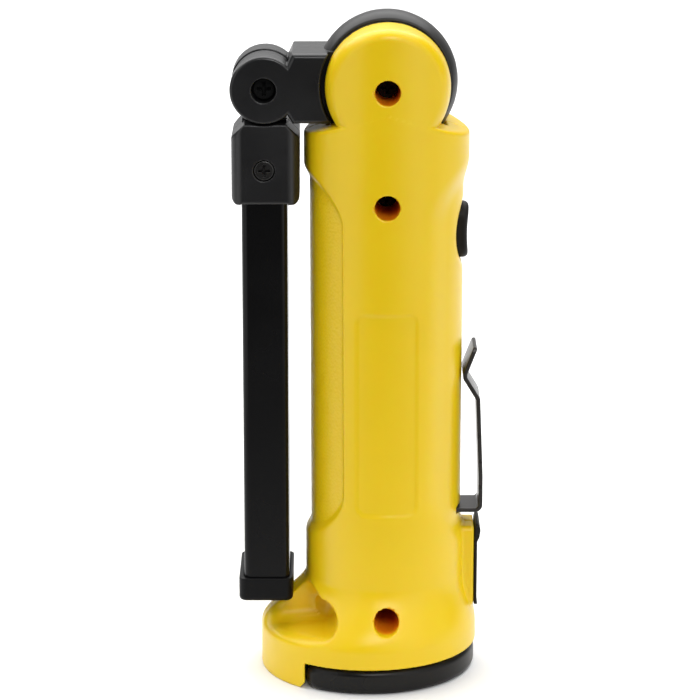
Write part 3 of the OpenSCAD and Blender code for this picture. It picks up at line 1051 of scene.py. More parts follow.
    def outside(self) -> Form:
        """Everything that both shells share, before they part at the seam.

        Returns:
            The form.
        """
        whole = self.tower() | self.cheeks()
        whole = whole | self.heel()
        whole = whole.joined(self.port_boss(), 0.8)
        whole = self.scooped(whole).cut(self.dish(), 0.5)
        return whole.cut(self.drum_room(), 0.35)

    def bore(self, z: float, seat: float) -> Form:
        """One deep screw counterbore from the front, and the screw's own hole."""
        head = along_y(disc(0, z, self.head_bore), -REACH, seat)
        return head | along_y(disc(0, z, self.screw_hole), -REACH, 1)

    def shell(self, side: int) -> Form:
        """One shell: the front one for -1, the rear one for 1.

        Args:
            side: -1 or 1.

        Returns:
            The shell.
        """
        foot_x, foot_z = joint_at("foot_hinge")
        pin = along_y(disc(foot_x, foot_z, 1.2), -REACH, REACH)
        whole = self.outside().cut(self.hollow() | self.ports() | pin, 0.25)
        half = Form(lambda x, y, z: meet(whole.at(x, y, z), self.seam - side * y, 0.25))
        if side < 0:
            for z, seat in self.bores:
                half = half.cut(self.bore(z, seat), 0.3)
            return half
        for z, _ in self.bores:
            half = half.cut(along_y(disc(0, z, self.thread_hole), -1, self.thread_end))
        return half

    def grip_mask(self, p: Array) -> Array:
        """How much leather grain each point has: full inside the left recess, none elsewhere."""
        floor = np.clip((self.recess(*p.T) - 0.9) / 0.09, 0, 1)
        return floor * (p[:, 0] < -10) * (np.hypot(p[:, 0], p[:, 1]) > self.grip_radius - 0.4)

    def painted_glow_mask(self, p: Array) -> Array:
        """How much painted orange glow each point gets, in place of light through the plastic: 1 on the walls of
        the deep screw bores, fading to 0 at their mouths, and a little in the scoops.

        Args:
            p: One row for each point.

        Returns:
            One value for each point.
        """
        x, y, z = p.T
        # painted glow in the scoops, in place of light bounced inside them
        inside = 0.2 * np.clip(0.4 - self.scoops().at(x, y, z), 0, 1) * (z > 13.6)
        for height, _ in self.bores:
            depth = -self.outside_y(height) + y
            reached = np.clip((self.head_bore + 0.25 - np.hypot(x, z - height)) / 0.2, 0, 1)
            inside = np.maximum(inside, reached * np.clip(depth / 1.5, 0, 1) * (y < -0.5))
        return inside

    def outside_y(self, z: float) -> float:
        """Where the front of the round handle stands at that height."""
        centre, radius = self.round_at(np.array(z))
        return -float(np.sqrt(radius**2 - centre**2))

    def build(self) -> None:
        """Casts both shells and dresses them."""
        zones = ((0, 53), (104, 112), (117, 195))
        grain = Grain(0.62, 1.1, fine_z=zones)
        material = YELLOW.material()
        for name, side in (("shell_front", -1), ("shell_rear", 1)):
            low, high = node_box(name)
            piece = cast(name + "_cast", self.shell(side), low, high, grain)
            points = np.empty(len(piece.data.vertices) * 3, np.float32)
            piece.data.vertices.foreach_get("co", points)
            # the 'bore' attribute carries the painted orange glow
            for mask, values in (("grip", self.grip_mask), ("bore", self.painted_glow_mask)):
                field = piece.data.attributes.new(mask, "FLOAT", "POINT")
                field.data.foreach_set("value", values(points.reshape(-1, 3) / MM).astype(np.float32))
            dress(piece, material)
            place(piece, Body.HANDLE, "yellow_plastic", name)


# ---------------------------------------------------------------- repeated pieces


@dataclass(frozen=True)
class Row:
    """Copies of a master on a grid, laid out by a Geometry Nodes tree.

    The first copy's place and the steps along both ways are in millimetres.
    """

    name: str
    start: tuple[float, float, float]
    step: tuple[float, float, float]
    count: int
    side_step: tuple[float, float, float] = (0.0, 0.0, 0.0)
    side_count: int = 1

    def tree(self) -> bpy.types.NodeTree:
        """The node tree: a line of lines of points, the master on each, realized and given its material.

        Returns:
            The tree.
        """
        tree = bpy.data.node_groups.new(self.name + " rows", "GeometryNodeTree")
        for name, kind in (
            ("Master", "NodeSocketObject"),
            ("Material", "NodeSocketMaterial"),
            ("Start", "NodeSocketVector"),
            ("Step", "NodeSocketVector"),
            ("Count", "NodeSocketInt"),
            ("Side Step", "NodeSocketVector"),
            ("Side Count", "NodeSocketInt"),
        ):
            tree.interface.new_socket(name=name, in_out="INPUT", socket_type=kind)
        tree.interface.new_socket(name="Geometry", in_out="OUTPUT", socket_type="NodeSocketGeometry")
        given = tree.nodes.new("NodeGroupInput").outputs
        line = tree.nodes.new("GeometryNodeMeshLine")
        side = tree.nodes.new("GeometryNodeMeshLine")
        grid = tree.nodes.new("GeometryNodeInstanceOnPoints")
        spots = tree.nodes.new("GeometryNodeRealizeInstances")
        master = tree.nodes.new("GeometryNodeObjectInfo")
        copies = tree.nodes.new("GeometryNodeInstanceOnPoints")
        whole = tree.nodes.new("GeometryNodeRealizeInstances")
        dressed = tree.nodes.new("GeometryNodeSetMaterial")
        result = tree.nodes.new("NodeGroupOutput")
        for source, target in (
            (given["Start"], line.inputs["Start Location"]),
            (given["Step"], line.inputs["Offset"]),
            (given["Count"], line.inputs["Count"]),
            (given["Side Step"], side.inputs["Offset"]),
            (given["Side Count"], side.inputs["Count"]),
            (line.outputs["Mesh"], grid.inputs["Points"]),
            (side.outputs["Mesh"], grid.inputs["Instance"]),
            (grid.outputs["Instances"], spots.inputs["Geometry"]),
            (given["Master"], master.inputs["Object"]),
            (spots.outputs["Geometry"], copies.inputs["Points"]),
            (master.outputs["Geometry"], copies.inputs["Instance"]),
            (copies.outputs["Instances"], whole.inputs["Geometry"]),
            (whole.outputs["Geometry"], dressed.inputs["Geometry"]),
            (given["Material"], dressed.inputs["Material"]),
            (dressed.outputs["Geometry"], result.inputs["Geometry"]),
        ):
            tree.links.new(source, target)
        return tree

    def lay(self, master: bpy.types.Object, material: bpy.types.Material) -> bpy.types.Object:
        """Lays out the copies as one plain mesh, and removes the master.

        Args:
            master: The piece to repeat, cast round the origin.
            material: What every copy is dressed in.

        Returns:
            The row, with its place in its mesh.
        """
        tree = self.tree()
        row = mesh_object(self.name, np.zeros((0, 3)), np.zeros((0, 4), int), None)
        modifier = row.modifiers.new("rows", "NODES")
        modifier.node_group = tree
        values = {
            "Master": master,
            "Material": material,
            "Start": [value * MM for value in self.start],
            "Step": [value * MM for value in self.step],
            "Count": self.count,
            "Side Step": [value * MM for value in self.side_step],
            "Side Count": self.side_count,
        }
        for item in tree.interface.items_tree:
            if item.in_out == "INPUT":
                modifier[item.identifier] = values[item.name]
        mesh = bpy.data.meshes.new_from_object(row.evaluated_get(bpy.context.evaluated_depsgraph_get()))
        row.modifiers.clear()
        row.data = mesh
        row.data.name = self.name
        bpy.data.objects.remove(master)
        log.info("%s: %d faces", self.name, len(mesh.polygons))
        return row


@dataclass(frozen=True)
class Screw:
    """A cross-head machine screw along y, in millimetres, with its head towards -y."""

    seat: float
    head_radius: float
    head_height: float
    radius: float
    end: float
    shoulder: float = 0.0
    shoulder_end: float = 0.0
    pitch: float = 0.55

    def form(self, x0: float = 0.0, z0: float = 0.0, sense: int = 1) -> Form:
        """The screw through (x0, z0); a sense of -1 turns its head to +y.

        Args:
            x0: The axis's x.
            z0: The axis's z.
            sense: 1, or -1 for a head towards +y.

        Returns:
            The form.
        """

        def distance(x: Array, y: Array, z: Array) -> Array:
            """Distance to the screw.

            Args:
                x: Places along x.
                y: Places along y.
                z: Heights.

            Returns:
                The distance at each place.
            """
            u, v, t = x - x0, z - z0, y * sense
            radial = np.hypot(u, v)
            turn = np.mod(t / self.pitch - np.arctan2(v, u * sense) / (2 * math.pi), 1)
            thread = self.radius - 0.24 * np.abs(2 * turn - 1) * (radial > 0.2)
            shank = meet((radial - thread) * 0.8, slab(t, self.seat - 0.4, self.end), 0.3)
            head = meet(radial - self.head_radius, slab(t, self.seat - self.head_height, self.seat), 0.45)
            if self.shoulder:
                neck = meet(radial - self.shoulder, slab(t, self.seat - 0.4, self.shoulder_end), 0.1)
                shank = np.minimum(shank, neck)
            depth = t - self.seat + self.head_height
            long, short = self.head_radius * 0.62 - 0.25 * depth, self.head_radius * 0.15 - 0.04 * depth
            lying = np.maximum(np.abs(u) - long, np.abs(v) - short)
            standing = np.maximum(np.abs(v) - long, np.abs(u) - short)
            cross = np.maximum(np.minimum(lying, standing), depth - self.head_height * 0.72)
            return carve(np.minimum(head, shank), cross, 0.08)

        return Form(distance)

    def box(self, x0: float = 0.0, z0: float = 0.0, sense: int = 1) -> tuple[tuple, tuple]:
        """The corners of the screw's own box.

        Args:
            x0: The axis's x.
            z0: The axis's z.
            sense: 1, or -1 for a head towards +y.

        Returns:
            The lowest and the highest corner.
        """
        reach = sorted((sense * (self.seat - self.head_height), sense * self.end))
        r = self.head_radius
        return (x0 - r, reach[0], z0 - r), (x0 + r, reach[1], z0 + r)

    def cast(self, name: str, x0: float = 0.0, z0: float = 0.0, sense: int = 1) -> bpy.types.Object:
        """Casts the screw through (x0, z0)."""
        return cast(name, self.form(x0, z0, sense), *self.box(x0, z0, sense), Grain(0.13, 0.13))


@dataclass
class Screws:
    """Every screw and pin of the flashlight."""

    case: Screw = Screw(-4.5, 2.8, 2.0, 1.5, 9.0)
    case_z: tuple[float, float] = (137.8, 20.1)
    drum: Screw = Screw(-10.4, 2.9, 2.2, 1.5, 14.0)
    knuckle: Screw = Screw(-7.3, 3.1, 1.7, 1.6, 9.0, 2.5, 2.7)
    block: Screw = Screw(-10.4, 2.8, 1.9, 1.5, 9.0)
    block_z: float = 146.2
    link: Screw = Screw(-10.6, 1.95, 1.3, 1.0, -2.0, pitch=0.4)
    link_x: float = -22.6
    link_z: tuple[float, float] = (162.6, 174.2)

    def build(self) -> None:
        """Casts the masters, lays out the rows and places the single screws."""
        # the dark steel carries painted shade of the deep holes; the block screw keeps the brighter steel
        material, bright = DARK_STEEL_PAINTED_SHADE.material(), BRIGHT_STEEL.material()
        knuckle_x, knuckle_z = joint_at("knuckle_hinge")
        drum_x, drum_z = joint_at("drum_hinge")
        top, low = self.case_z
        row = Row("case_screw_row", (0, 0, top), (0, 0, low - top), 2)
        place(row.lay(self.case.cast("case master"), material), Body.HANDLE, "dark_steel", "case_screws")
        low, top = self.link_z
        row = Row("link_screw_row", (self.link_x, 0, low), (0, 0, top - low), 2)
        laid = row.lay(self.link.cast("link master", sense=-1), material)
        place(laid, Body.LINK, "dark_steel", "link_screws")
        for screw, body, node, x, z in (
            (self.drum, Body.HANDLE, "drum_screw", drum_x, drum_z),
            (self.knuckle, Body.LINK, "knuckle_pin", knuckle_x, knuckle_z),
            (self.block, Body.ARM, "block_screw", knuckle_x, self.block_z),
        ):
            piece = screw.cast(node + "_cast", x, z)
            dress(piece, bright if body is Body.ARM else material)
            place(piece, body, "dark_steel", node)


# ---------------------------------------------------------------- drum, link and lamp arm


@dataclass
class Drum:
    """The grey band round the drum, crowned, and open where the link leaves it."""

    radius: float = 19.6
    inner: float = 17.2
    half: float = 6.6
    crown: float = 1.6
    window: Point = (159.35, 177.45)

    def form(self) -> Form:
        """The band, crowned and with its window.

        Returns:
            The form.
        """
        drum_x, drum_z = joint_at("drum_hinge")

        def distance(x: Array, y: Array, z: Array) -> Array:
            """Distance to the crowned band.

            Args:
                x: Places along x.
                y: Places along y.
                z: Heights.

            Returns:
                The distance at each place.
            """
            outer = self.radius - self.crown * (np.minimum(np.abs(y) / self.half, 1.3)) ** 2.4
            radial = np.hypot(x - drum_x, z - drum_z)
            band = meet(radial - outer, slab(y, -self.half, self.half), 0.35)
            return meet(band, self.inner - radial, 0.2)

        return Form(distance).cut(block_of((-REACH, -8), (-REACH, REACH), self.window), 0.5)

    def build(self) -> None:
        """Casts and dresses the band."""
        piece = cast("drum_band_cast", self.form(), *node_box("drum_band"), Grain(0.36, 0.36))
        dress(piece, GREY.material())
        place(piece, Body.LINK, "grey_plastic", "drum_band")


@dataclass
class Link:
    """The two-piece link between the drum and the knuckle."""

    half: float = 12.5
    knuckle_radius: float = 9.35
    neck: Point = (159.2, 178.45)
    gap: float = 18.4
    core: float = 17.2
    drum_half: float = 6.8
    part: float = 2.7
    seam: float = 0.05
    tongue: Point = (-5.4, 2.45)
    pin_seat: float = -7.3
    screw_x: float = -22.6
    screw_z: tuple[float, float] = (162.6, 174.2)
    screw_seat: float = 10.6
    axle_hole: float = 3.45
    pin_head_hole: float = 3.4
    pin_hole: float = 2.55

    def outside(self) -> Form:
        """Knuckle, neck and core of the drum, before the link parts in two.

        Returns:
            The form.
        """
        x, z = joint_at("knuckle_hinge")
        drum = joint_at("drum_hinge")
        low, high = self.neck
        arm = outline(
            [(x, z - 6.4), (x + 6.2, z - 6.4), (x + 7.9, low), (-8, low), (-8, high), (x + 7.9, high),
             (x + 6.2, z + 6.4), (x, z + 6.4)]
        )
        knuckle = along_y(disc(x, z, self.knuckle_radius), -self.half, self.half, 0.9)
        wide = knuckle | along_y(arm, -self.half, self.half, 1.3)
        wide = wide.cut(along_y(disc(*drum, self.gap), -FAR, FAR), 0.45)
        near = along_y(disc(*drum, self.gap + 1), -FAR, FAR)
        neck = along_y(arm, -self.drum_half, self.drum_half).kept(near)
        return wide | neck | along_y(disc(*drum, self.core), -self.drum_half, self.drum_half, 0.3)

    def front(self) -> Form:
        """The front piece, with the room for the lamp arm's tongue and the hole of the knuckle's pin.

        Returns:
            The form.
        """
        x, z = joint_at("knuckle_hinge")
        start = self.tongue[0] - 0.5
        room = along_y(disc(x, z, self.knuckle_radius + 0.5), start, REACH)
        room = room | block_of((-REACH, x), (start, REACH), (150, 190))
        half = Form(lambda px, y, pz: np.maximum(self.outside().at(px, y, pz), y - self.part + self.seam))
        half = half.cut(along_y(disc(*joint_at("drum_hinge"), self.axle_hole), -FAR, FAR), 0.2)
        half = half.cut(room, 0.35)
        half = half.cut(block_of((-26, -6), (-2, 1.8), (167, 170)))
        half = half.cut(along_y(disc(x, z, self.pin_head_hole), -REACH, self.pin_seat), 0.25)
        half = half.cut(along_y(disc(x, z, self.pin_hole), -REACH, REACH))
        for screw_z in self.screw_z:
            half = half.cut(along_y(disc(self.screw_x, screw_z, 1.0), -3, REACH))
        return half

    def rear(self) -> Form:
        """The rear piece, with its two screw holes.

        Returns:
            The form.
        """
        x, z = joint_at("knuckle_hinge")
        half = Form(lambda px, y, pz: meet(self.outside().at(px, y, pz), self.part + self.seam - y, 0.25))
        half = half.cut(along_y(disc(*joint_at("drum_hinge"), self.axle_hole), -FAR, FAR), 0.2)
        half = half.cut(along_y(disc(x, z, 1.6), -REACH, 9.5))
        for screw_z in self.screw_z:
            half = half.cut(along_y(disc(self.screw_x, screw_z, 1.15), -REACH, REACH))
            half = half.cut(along_y(disc(self.screw_x, screw_z, 2.1), self.screw_seat, REACH), 0.25)
        return half

    def build(self) -> None:
        """Casts and dresses both pieces."""
        material = BLACK.material()
        for node, form in (("link_front", self.front()), ("link_rear", self.rear())):
            piece = cast(node + "_cast", form, *node_box(node), Grain(0.3, 0.3))
            dress(piece, material)
            place(piece, Body.LINK, "black_plastic", node)


@dataclass
class LampHead:
    """The two-piece block between the knuckle and the lamp panel."""

    thick: float = 19.0
    shift: float = 0.3
    half: float = 12.5
    bottom: float = 136.4
    top: float = 159.0
    chamfer: float = 3.7
    saddle: float = 9.75
    tongue: Point = (-5.4, 2.45)
    tongue_radius: float = 8.95
    part: float = -1.5
    seam: float = 0.05
    socket: float = 141.6
    screw_z: float = 146.2
    screw_seat: float = -10.4
    pin_hole: float = 2.55
    lead_radius: float = 1.2

    def outside(self) -> Form:
        """The block with its chamfered shoulders, its saddle and the tongue.

        Returns:
            The form.
        """
        x, z = joint_at("knuckle_hinge")
        w, cut, middle = self.thick / 2, self.chamfer, x + self.shift
        low = self.bottom - 10
        shoulders = outline(
            [(middle - w - 5, low), (middle - w - 5, self.top - cut - 5), (middle - w + cut, self.top),
             (middle + w - cut, self.top), (middle + w + 5, self.top - cut - 5), (middle + w + 5, low)]
        )
        foot = plate(middle, self.bottom + 30, self.thick, 60, 2.4)
        block = along_z(plate(middle, 0, self.thick, 2 * self.half, 3.6), self.bottom - 5, self.top + 5)
        block = block.kept(along_y(shoulders, -FAR, FAR), 0.5).kept(along_y(foot, -FAR, FAR), 0.3)
        block = block.kept(along_y(foot, -self.half, self.half, 1.3), 0)
        block = block.cut(along_y(disc(x, z, self.saddle), -FAR, FAR), 0.35)
        start, end = self.tongue
        tongue = along_y(disc(x, z, self.tongue_radius), start, end, 0.45)
        return block | tongue | block_of((x - 6.2, x + 6.2), (start, end), (self.bottom + 12, z - 5))

    def openings(self) -> Form:
        """The pin's bore, the socket for the panel, and the way for the lead.

        Returns:
            The form to cut away.
        """
        x, z = joint_at("knuckle_hinge")
        socket = block_of((x - 6.4, x + 6.4), (-11.95, 11.95), (self.bottom - 5, self.socket))
        tab = block_of((x - 2.6, x + 2.6), (-6.1, 6.1), (self.socket - 1, 150.7))
        lead = along_z(disc(x, self.part, self.lead_radius), 145, 159)
        return along_y(disc(x, z, self.pin_hole), -FAR, FAR) | socket | tab | lead

    def half_of(self, side: int) -> Form:
        """The front half for -1, or the rear half for 1.

        Args:
            side: -1 or 1.

        Returns:
            The half.
        """
        x, _ = joint_at("knuckle_hinge")
        whole = self.outside().cut(self.openings(), 0.2)
        half = Form(lambda px, y, pz: meet(whole.at(px, y, pz), self.seam - side * (y - self.part), 0.2))
        half = half.cut(along_y(disc(x, self.screw_z, 1.55), -FAR, 10))
        if side < 0:
            half = half.cut(along_y(disc(x, self.screw_z, 2.95), -REACH, self.screw_seat), 0.2)
        return half

    def build(self) -> None:
        """Casts and dresses both halves."""
        material = BLACK.material()
        for node, side in (("block_front", -1), ("block_rear", 1)):
            piece = cast(node + "_cast", self.half_of(side), *node_box(node), Grain(0.28, 0.28))
            dress(piece, material)
            place(piece, Body.ARM, "black_plastic", node)


@dataclass
class LampPanel:
    """The flat lamp: housing, lens with its ribs, reflector, light strip and end cap."""

    thick: float = 12.7
    half: float = 11.9
    bottom: float = 23.6
    top: float = 141.5
    window: tuple[float, float] = (33.0, 133.0)
    lens_width: float = 19.6
    cap: tuple[float, float] = (15.3, 26.0)
    cap_z: tuple[float, float] = (21.9, 28.7)
    corner: float = 1.9
    rib_pitch: float = 2.0
    rib_radius: float = 0.55
    rib_half: float = 9.2
    chip_pitch: float = 3.0
    chip_rows_apart: float = 3.8

    def layer(self, depth: float, thick: float, width: float, low: float, high: float, edge: float) -> Form:
        """One flat layer of the lamp, at a depth below the panel's open face."""
        face = joint_at("knuckle_hinge")[0] - self.thick / 2 + depth
        return along_x(plate(0, (low + high) / 2, width, high - low, 0.4), face, face + thick, edge)

    def housing(self) -> Form:
        """The gloss housing with its tab, its screw hole and the trough of the lamp.

        Returns:
            The form.
        """
        x, _ = joint_at("knuckle_hinge")
        low, high = self.window
        bar = along_z(plate(x, 0, self.thick, 2 * self.half, self.corner), self.bottom, self.top, 0.3)
        tab = block_of((x - 2.5, x + 2.5), (-6, 6), (self.top - 1, self.top + 9), 0.3)
        trough = block_of((-REACH, x - self.thick / 2 + 7.6), (-9.9, 9.9), (low - 0.1, high + 0.1))
        whole = (bar | tab).cut(trough, 0.3)
        whole = whole.cut(along_y(disc(x, 146.2, 1.6), -FAR, FAR))
        return whole.cut(along_z(disc(x, -1.5, 1.2), 131, 153))

    def reflector(self) -> Form:
        """The white frame whose window widens towards the lens.

        Returns:
            The form.
        """
        low, high = self.window
        border = self.layer(2.2, 2.2, self.lens_width, low, high, 0.15)
        face = joint_at("knuckle_hinge")[0] - self.thick / 2 + 2.2
        window = plate(0, 83, 12.4, 91.4, 1.0)
        funnel = Form(lambda x, y, z: (window(y, z) - 0.8 + 0.36 * (x - face)) * 0.94)
        return border.cut(funnel, 0.15)

    def end_cap(self) -> Form:
        """The cap pushed over the panel's lower end.

        Returns:
            The form.
        """
        x, _ = joint_at("knuckle_hinge")
        low, high = self.cap_z
        outer = along_z(plate(x - 0.25, 0, *self.cap, 2.2), low, high + 4, 1.2)
        outer = outer.kept(Form(lambda px, y, z: z - high + 0 * px), 0.35)
        inside = plate(x, 0, self.thick + 0.1, 2 * self.half + 0.1, self.corner)
        return outer.cut(along_z(inside, self.bottom - 0.05, REACH), 0.2)

    def piece(self, name: str, form: Form, node: str, slot: str, finish: Finish, grain: Grain) -> None:
        """Casts, dresses and places one piece of the lamp.

        Args:
            name: The piece's name.
            form: Its form.
            node: The CAD node that it stands for.
            slot: Its material slot.
            finish: Its finish.
            grain: How finely it is cast.
        """
        made = cast(name, form, *node_box(node), grain)
        dress(made, finish.material())
        place(made, Body.ARM, slot, node)

    def build(self) -> None:
        """Casts every piece of the lamp and lays out the lens ribs and the light chips."""
        x, _ = joint_at("knuckle_hinge")
        face = x - self.thick / 2
        long = Grain(0.3, 1.2, fine_z=((20, 25), (31, 35), (131, 152)))
        self.piece("panel_housing_cast", self.housing(), "panel_housing", "gloss_black", PANEL_BLACK, long)
        self.piece("end_cap_cast", self.end_cap(), "end_cap", "black_plastic", CAP_BLACK_PAINTED_SHADE, Grain(0.3, 0.3))
        frame_grain = Grain(0.25, 1.2, fine_z=((32.5, 38.5), (127.5, 133.5)))
        self.piece("reflector_cast", self.reflector(), "reflector_frame", "white_board", WHITE, frame_grain)
        low, high = self.window
        pane = self.layer(0.9, 1.3, self.lens_width, low, high, 0.3)
        lens_grain = Grain(0.3, 1.2, fine_z=((32.5, 34.5), (131.5, 133.5)))
        self.piece("lens_cast", pane, "lens", "clear_lens", LENS, lens_grain)
        rib = along_y(disc(0, 0, self.rib_radius), -self.rib_half, self.rib_half)
        rib = rib.kept(Form(lambda px, y, z: px + 0 * (y + z)))
        rib_grain = Grain(0.2, 3.0, fine_y=((-9.4, -9.0), (9.0, 9.4)))
        master = cast("rib master", rib, (-0.6, -9.3, -0.6), (0.05, 9.3, 0.6), rib_grain)
        row = Row("lens_ribs", (face + 0.95, 0, low + 2), (0, 0, self.rib_pitch), 49)
        place(row.lay(master, LENS.material()), Body.ARM, "clear_lens")
        strip = self.layer(4.0, 0.4, 8, 40, 126, 0.15)
        strip_grain = Grain(0.2, 1.5, fine_z=((39.5, 41), (125, 126.5)))
        self.piece("cob_strip_cast", strip, "cob_strip", "phosphor", PHOSPHOR, strip_grain)
        chip = block_of((-0.3, 0.05), (-1.3, 1.3), (-1.1, 1.1), 0.18)
        master = cast("chip master", chip, (-0.35, -1.4, -1.2), (0.1, 1.4, 1.2), Grain(0.35, 0.35))
        apart = self.chip_rows_apart
        row = Row("light_chips", (face + 4.0, -apart / 2, 42), (0, 0, self.chip_pitch), 28, (0, apart, 0), 2)
        place(row.lay(master, CHIP_GEL.material()), Body.ARM, "phosphor")


# ---------------------------------------------------------------- button, clip, cover and foot


@dataclass
class Button:
    """The saddle-shaped rubber button with its flange and stem."""

    middle: float = 127.4
    width: float = 9.6
    height: float = 15.9
    flange_x: float = 17.8
    stem_x: float = 17.1
    outer_x: float = 23.1

    def form(self) -> Form:
        """The cap with its saddle, the flange behind it and the stem.

        Returns:
            The form.
        """
        back = self.flange_x
        cap = along_x(plate(0, self.middle, self.width, self.height, 4.4), back - 0.4, self.outer_x, 1.9)
        saddle = along_y(disc(52.3, self.middle - 0.8, 29.8), -FAR, FAR)
        flange = along_x(plate(0, self.middle, self.width + 2, self.height + 2, 5), back - 0.8, back, 0.2)
        stem = along_x(disc(0, self.middle, 2), self.stem_x, back, 0.1)
        return cap.cut(saddle, 0.9) | flange | stem

    def build(self) -> None:
        """Casts and dresses the button."""
        piece = cast("button_cast", self.form(), *node_box("button"), Grain(0.25, 0.25))
        dress(piece, RUBBER.material())
        place(piece, Body.BUTTON, "black_rubber", "button")


def bent(points: Sequence[Point], radius: float, steps: int = 6) -> list[Point]:
    """A path whose corners are rounded off.

    Args:
        points: The corners of the path, in order.
        radius: Radius of each bend, less where the legs are too short for it.
        steps: Points on each bend.

    Returns:
        The rounded path.
    """
    path = [points[0]]
    for before, here, after in zip(points, points[1:], points[2:]):
        into, out = Vector(here) - Vector(before), Vector(after) - Vector(here)
        turn = abs(into.angle(out))
        reach = min(radius * math.tan(turn / 2), into.length * 0.48, out.length * 0.48)
        start, end = Vector(here) - into.normalized() * reach, Vector(here) + out.normalized() * reach
        for i in range(steps + 1):
            t = i / steps
            spot = start * (1 - t) ** 2 + Vector(here) * (2 * t * (1 - t)) + end * t**2
            path.append((spot.x, spot.y))
    path.append(points[-1])
    return path


@dataclass
class BeltClip:
    """The bent spring-steel clip."""

    width: float = 13.4
    thick: float = 1.2
    foot_z: float = 46.4
    bend: float = 1.4

    def form(self) -> Form:
        """The strip along its path, with rounded corners at its free end.

        Returns:
            The form.
        """
        z = self.foot_z + 0.6
        path = bent(
            [(16.3, z + 3.4), (16.3, z), (25.9, z), (26.8, z + 1.0), (26.8, 57), (25.9, 79.6), (22.2, 85.7),
             (22.15, 86.9), (24.9, 94.1)],
            self.bend,
        )
        strip = along_y(ribbon(path, self.thick / 2), -self.width / 2, self.width / 2, 0.3)
        return strip.kept(along_x(plate(0, 65.1, self.width, 61, 3.2), -FAR, FAR), 0.2)

    def build(self) -> None:
        """Casts and dresses the clip."""
        grain = Grain(0.26, 0.9, fine_y=((-7, -5.5), (5.5, 7)), fine_z=((45, 52), (78, 97)))
        piece = cast("belt_clip_cast", self.form(), *node_box("belt_clip"), grain)
        dress(piece, SPRING.material())
        place(piece, Body.CLIP, "spring_steel", "belt_clip")


@dataclass
class PortCover:
    """The rubber flap with its bump to pull at and its plug."""

    half: float = 6.8
    low: float = 18.6
    high: float = 42.9

    def form(self) -> Form:
        """The flap with its bump, its hinge edge and its plug.

        Returns:
            The form.
        """
        x, z = joint_at("cover_hinge")
        flap = outline(
            [(x - 0.5, z), (x + 0.25, z), (x + 0.3, 37.6), (x + 0.95, 39), (x + 1.2, 41), (x + 0.95, 42.3),
             (x + 0.4, self.high), (x - 0.1, 42.6), (x - 0.45, 41.4), (x - 0.5, 39)]
        )
        strip = along_y(fused(0.3, flap, disc(x, z, 0.5)), -self.half, self.half, 0.28)
        middle = (self.low + self.high) / 2
        face = along_x(plate(0, middle, 2 * self.half, self.high - self.low, 1.3), -FAR, FAR)
        return strip.kept(face, 0.15) | along_x(plate(0, 31, 9.1, 3.3, 1.3), 22.6, x, 0.3)

    def build(self) -> None:
        """Casts and dresses the flap."""
        piece = cast("port_cover_cast", self.form(), *node_box("port_cover"), Grain(0.22, 0.22))
        dress(piece, RUBBER.material())
        place(piece, Body.COVER, "black_rubber", "port_cover")


@dataclass
class Foot:
    """The hinged foot plate that carries the magnet."""

    base_x: float = -4.86
    radius: float = 30.3
    top: float = 7.05
    barrel: float = 3.5
    lug: float = 9.0

    def form(self) -> Form:
        """The plate with its barrel, and the rooms for lug, pin, magnet and lid.

        Returns:
            The form.
        """
        x0, z0 = joint_at("foot_hinge")
        barrel = disc(x0, z0, self.barrel)

        def distance(x: Array, y: Array, z: Array) -> Array:
            """Distance to the plate and its barrel.

            Args:
                x: Places along x.
                y: Places along y.
                z: Heights.

            Returns:
                The distance at each place.
            """
            side = np.hypot(x - self.base_x, y) - self.radius
            body = np.maximum(meet(-z, z - self.top, 0.2), x0 - x)
            body = np.minimum(body, barrel(x, z))
            return meet(side, meet(body, z - self.top, 0.2), 1.9)

        whole = Form(distance)
        room = along_y(disc(x0, z0, self.barrel + 0.25), -self.lug, self.lug)
        room = room | block_of((-REACH, x0), (-self.lug, self.lug), (-5, 12))
        whole = whole.cut(room, 0.25).cut(along_y(disc(x0, z0, 1.24), -19, 19))
        whole = whole.cut(along_z(disc(0, 0, 14), -5, 5), 0.3)
        return whole.cut(along_z(plate(3, 0, 36, 36, 10), 5, 12), 0.3)

    def build(self) -> None:
        """Casts and dresses the foot."""
        piece = cast("foot_shell_cast", self.form(), *node_box("foot_shell"), Grain(0.4, 0.4))
        dress(piece, FOOT_BLACK_PAINTED_SHADE.material())
        place(piece, Body.FOOT, "black_plastic", "foot_shell")


def dress_rest() -> None:
    """Dresses every CAD node that is shown as it is in the finish of its slot."""
    finishes = {
        "yellow_plastic": YELLOW, "grey_plastic": GREY, "black_plastic": BLACK,
        "gloss_black": PANEL_BLACK, "black_rubber": RUBBER, "spring_steel": SPRING,
        "dark_steel": DARK_STEEL_PAINTED_SHADE, "steel": STEEL, "nickel": NICKEL, "magnet_nickel": NICKEL,
        "aluminium": ALUMINIUM, "white_board": WHITE, "phosphor": PHOSPHOR, "clear_lens": LENS,
        "wire_red": WIRE, "cell_wrap": WRAP, "green_board": MASK_GREEN, "chips": CHIP,
    }
    made: dict[str, bpy.types.Material] = {}
    for part in frame["record"]["subparts"]:
        slot = part["material_slot"]
        if slot not in made:
            made[slot] = finishes[slot].material()
        dress(frame["nodes"][part["node"]], made[slot])


# ---------------------------------------------------------------- studio


def area_lamp(name: str, size: Point, radiance: float) -> bpy.types.Object:
    """A rectangular area light that the camera does not see.

    Args:
        name: Its name.
        size: Width and height in metres.
        radiance: Its brightness, whatever its size.

    Returns:
        The light, linked to the scene at the origin.
    """
    lamp = bpy.data.lights.new(name, "AREA")
    lamp.shape = "RECTANGLE"
    lamp.size, lamp.size_y = size
    lamp.energy = radiance * math.pi * size[0] * size[1]
    light = bpy.data.objects.new(name, lamp)
    light.visible_camera = False
    bpy.context.scene.collection.objects.link(light)
    return light


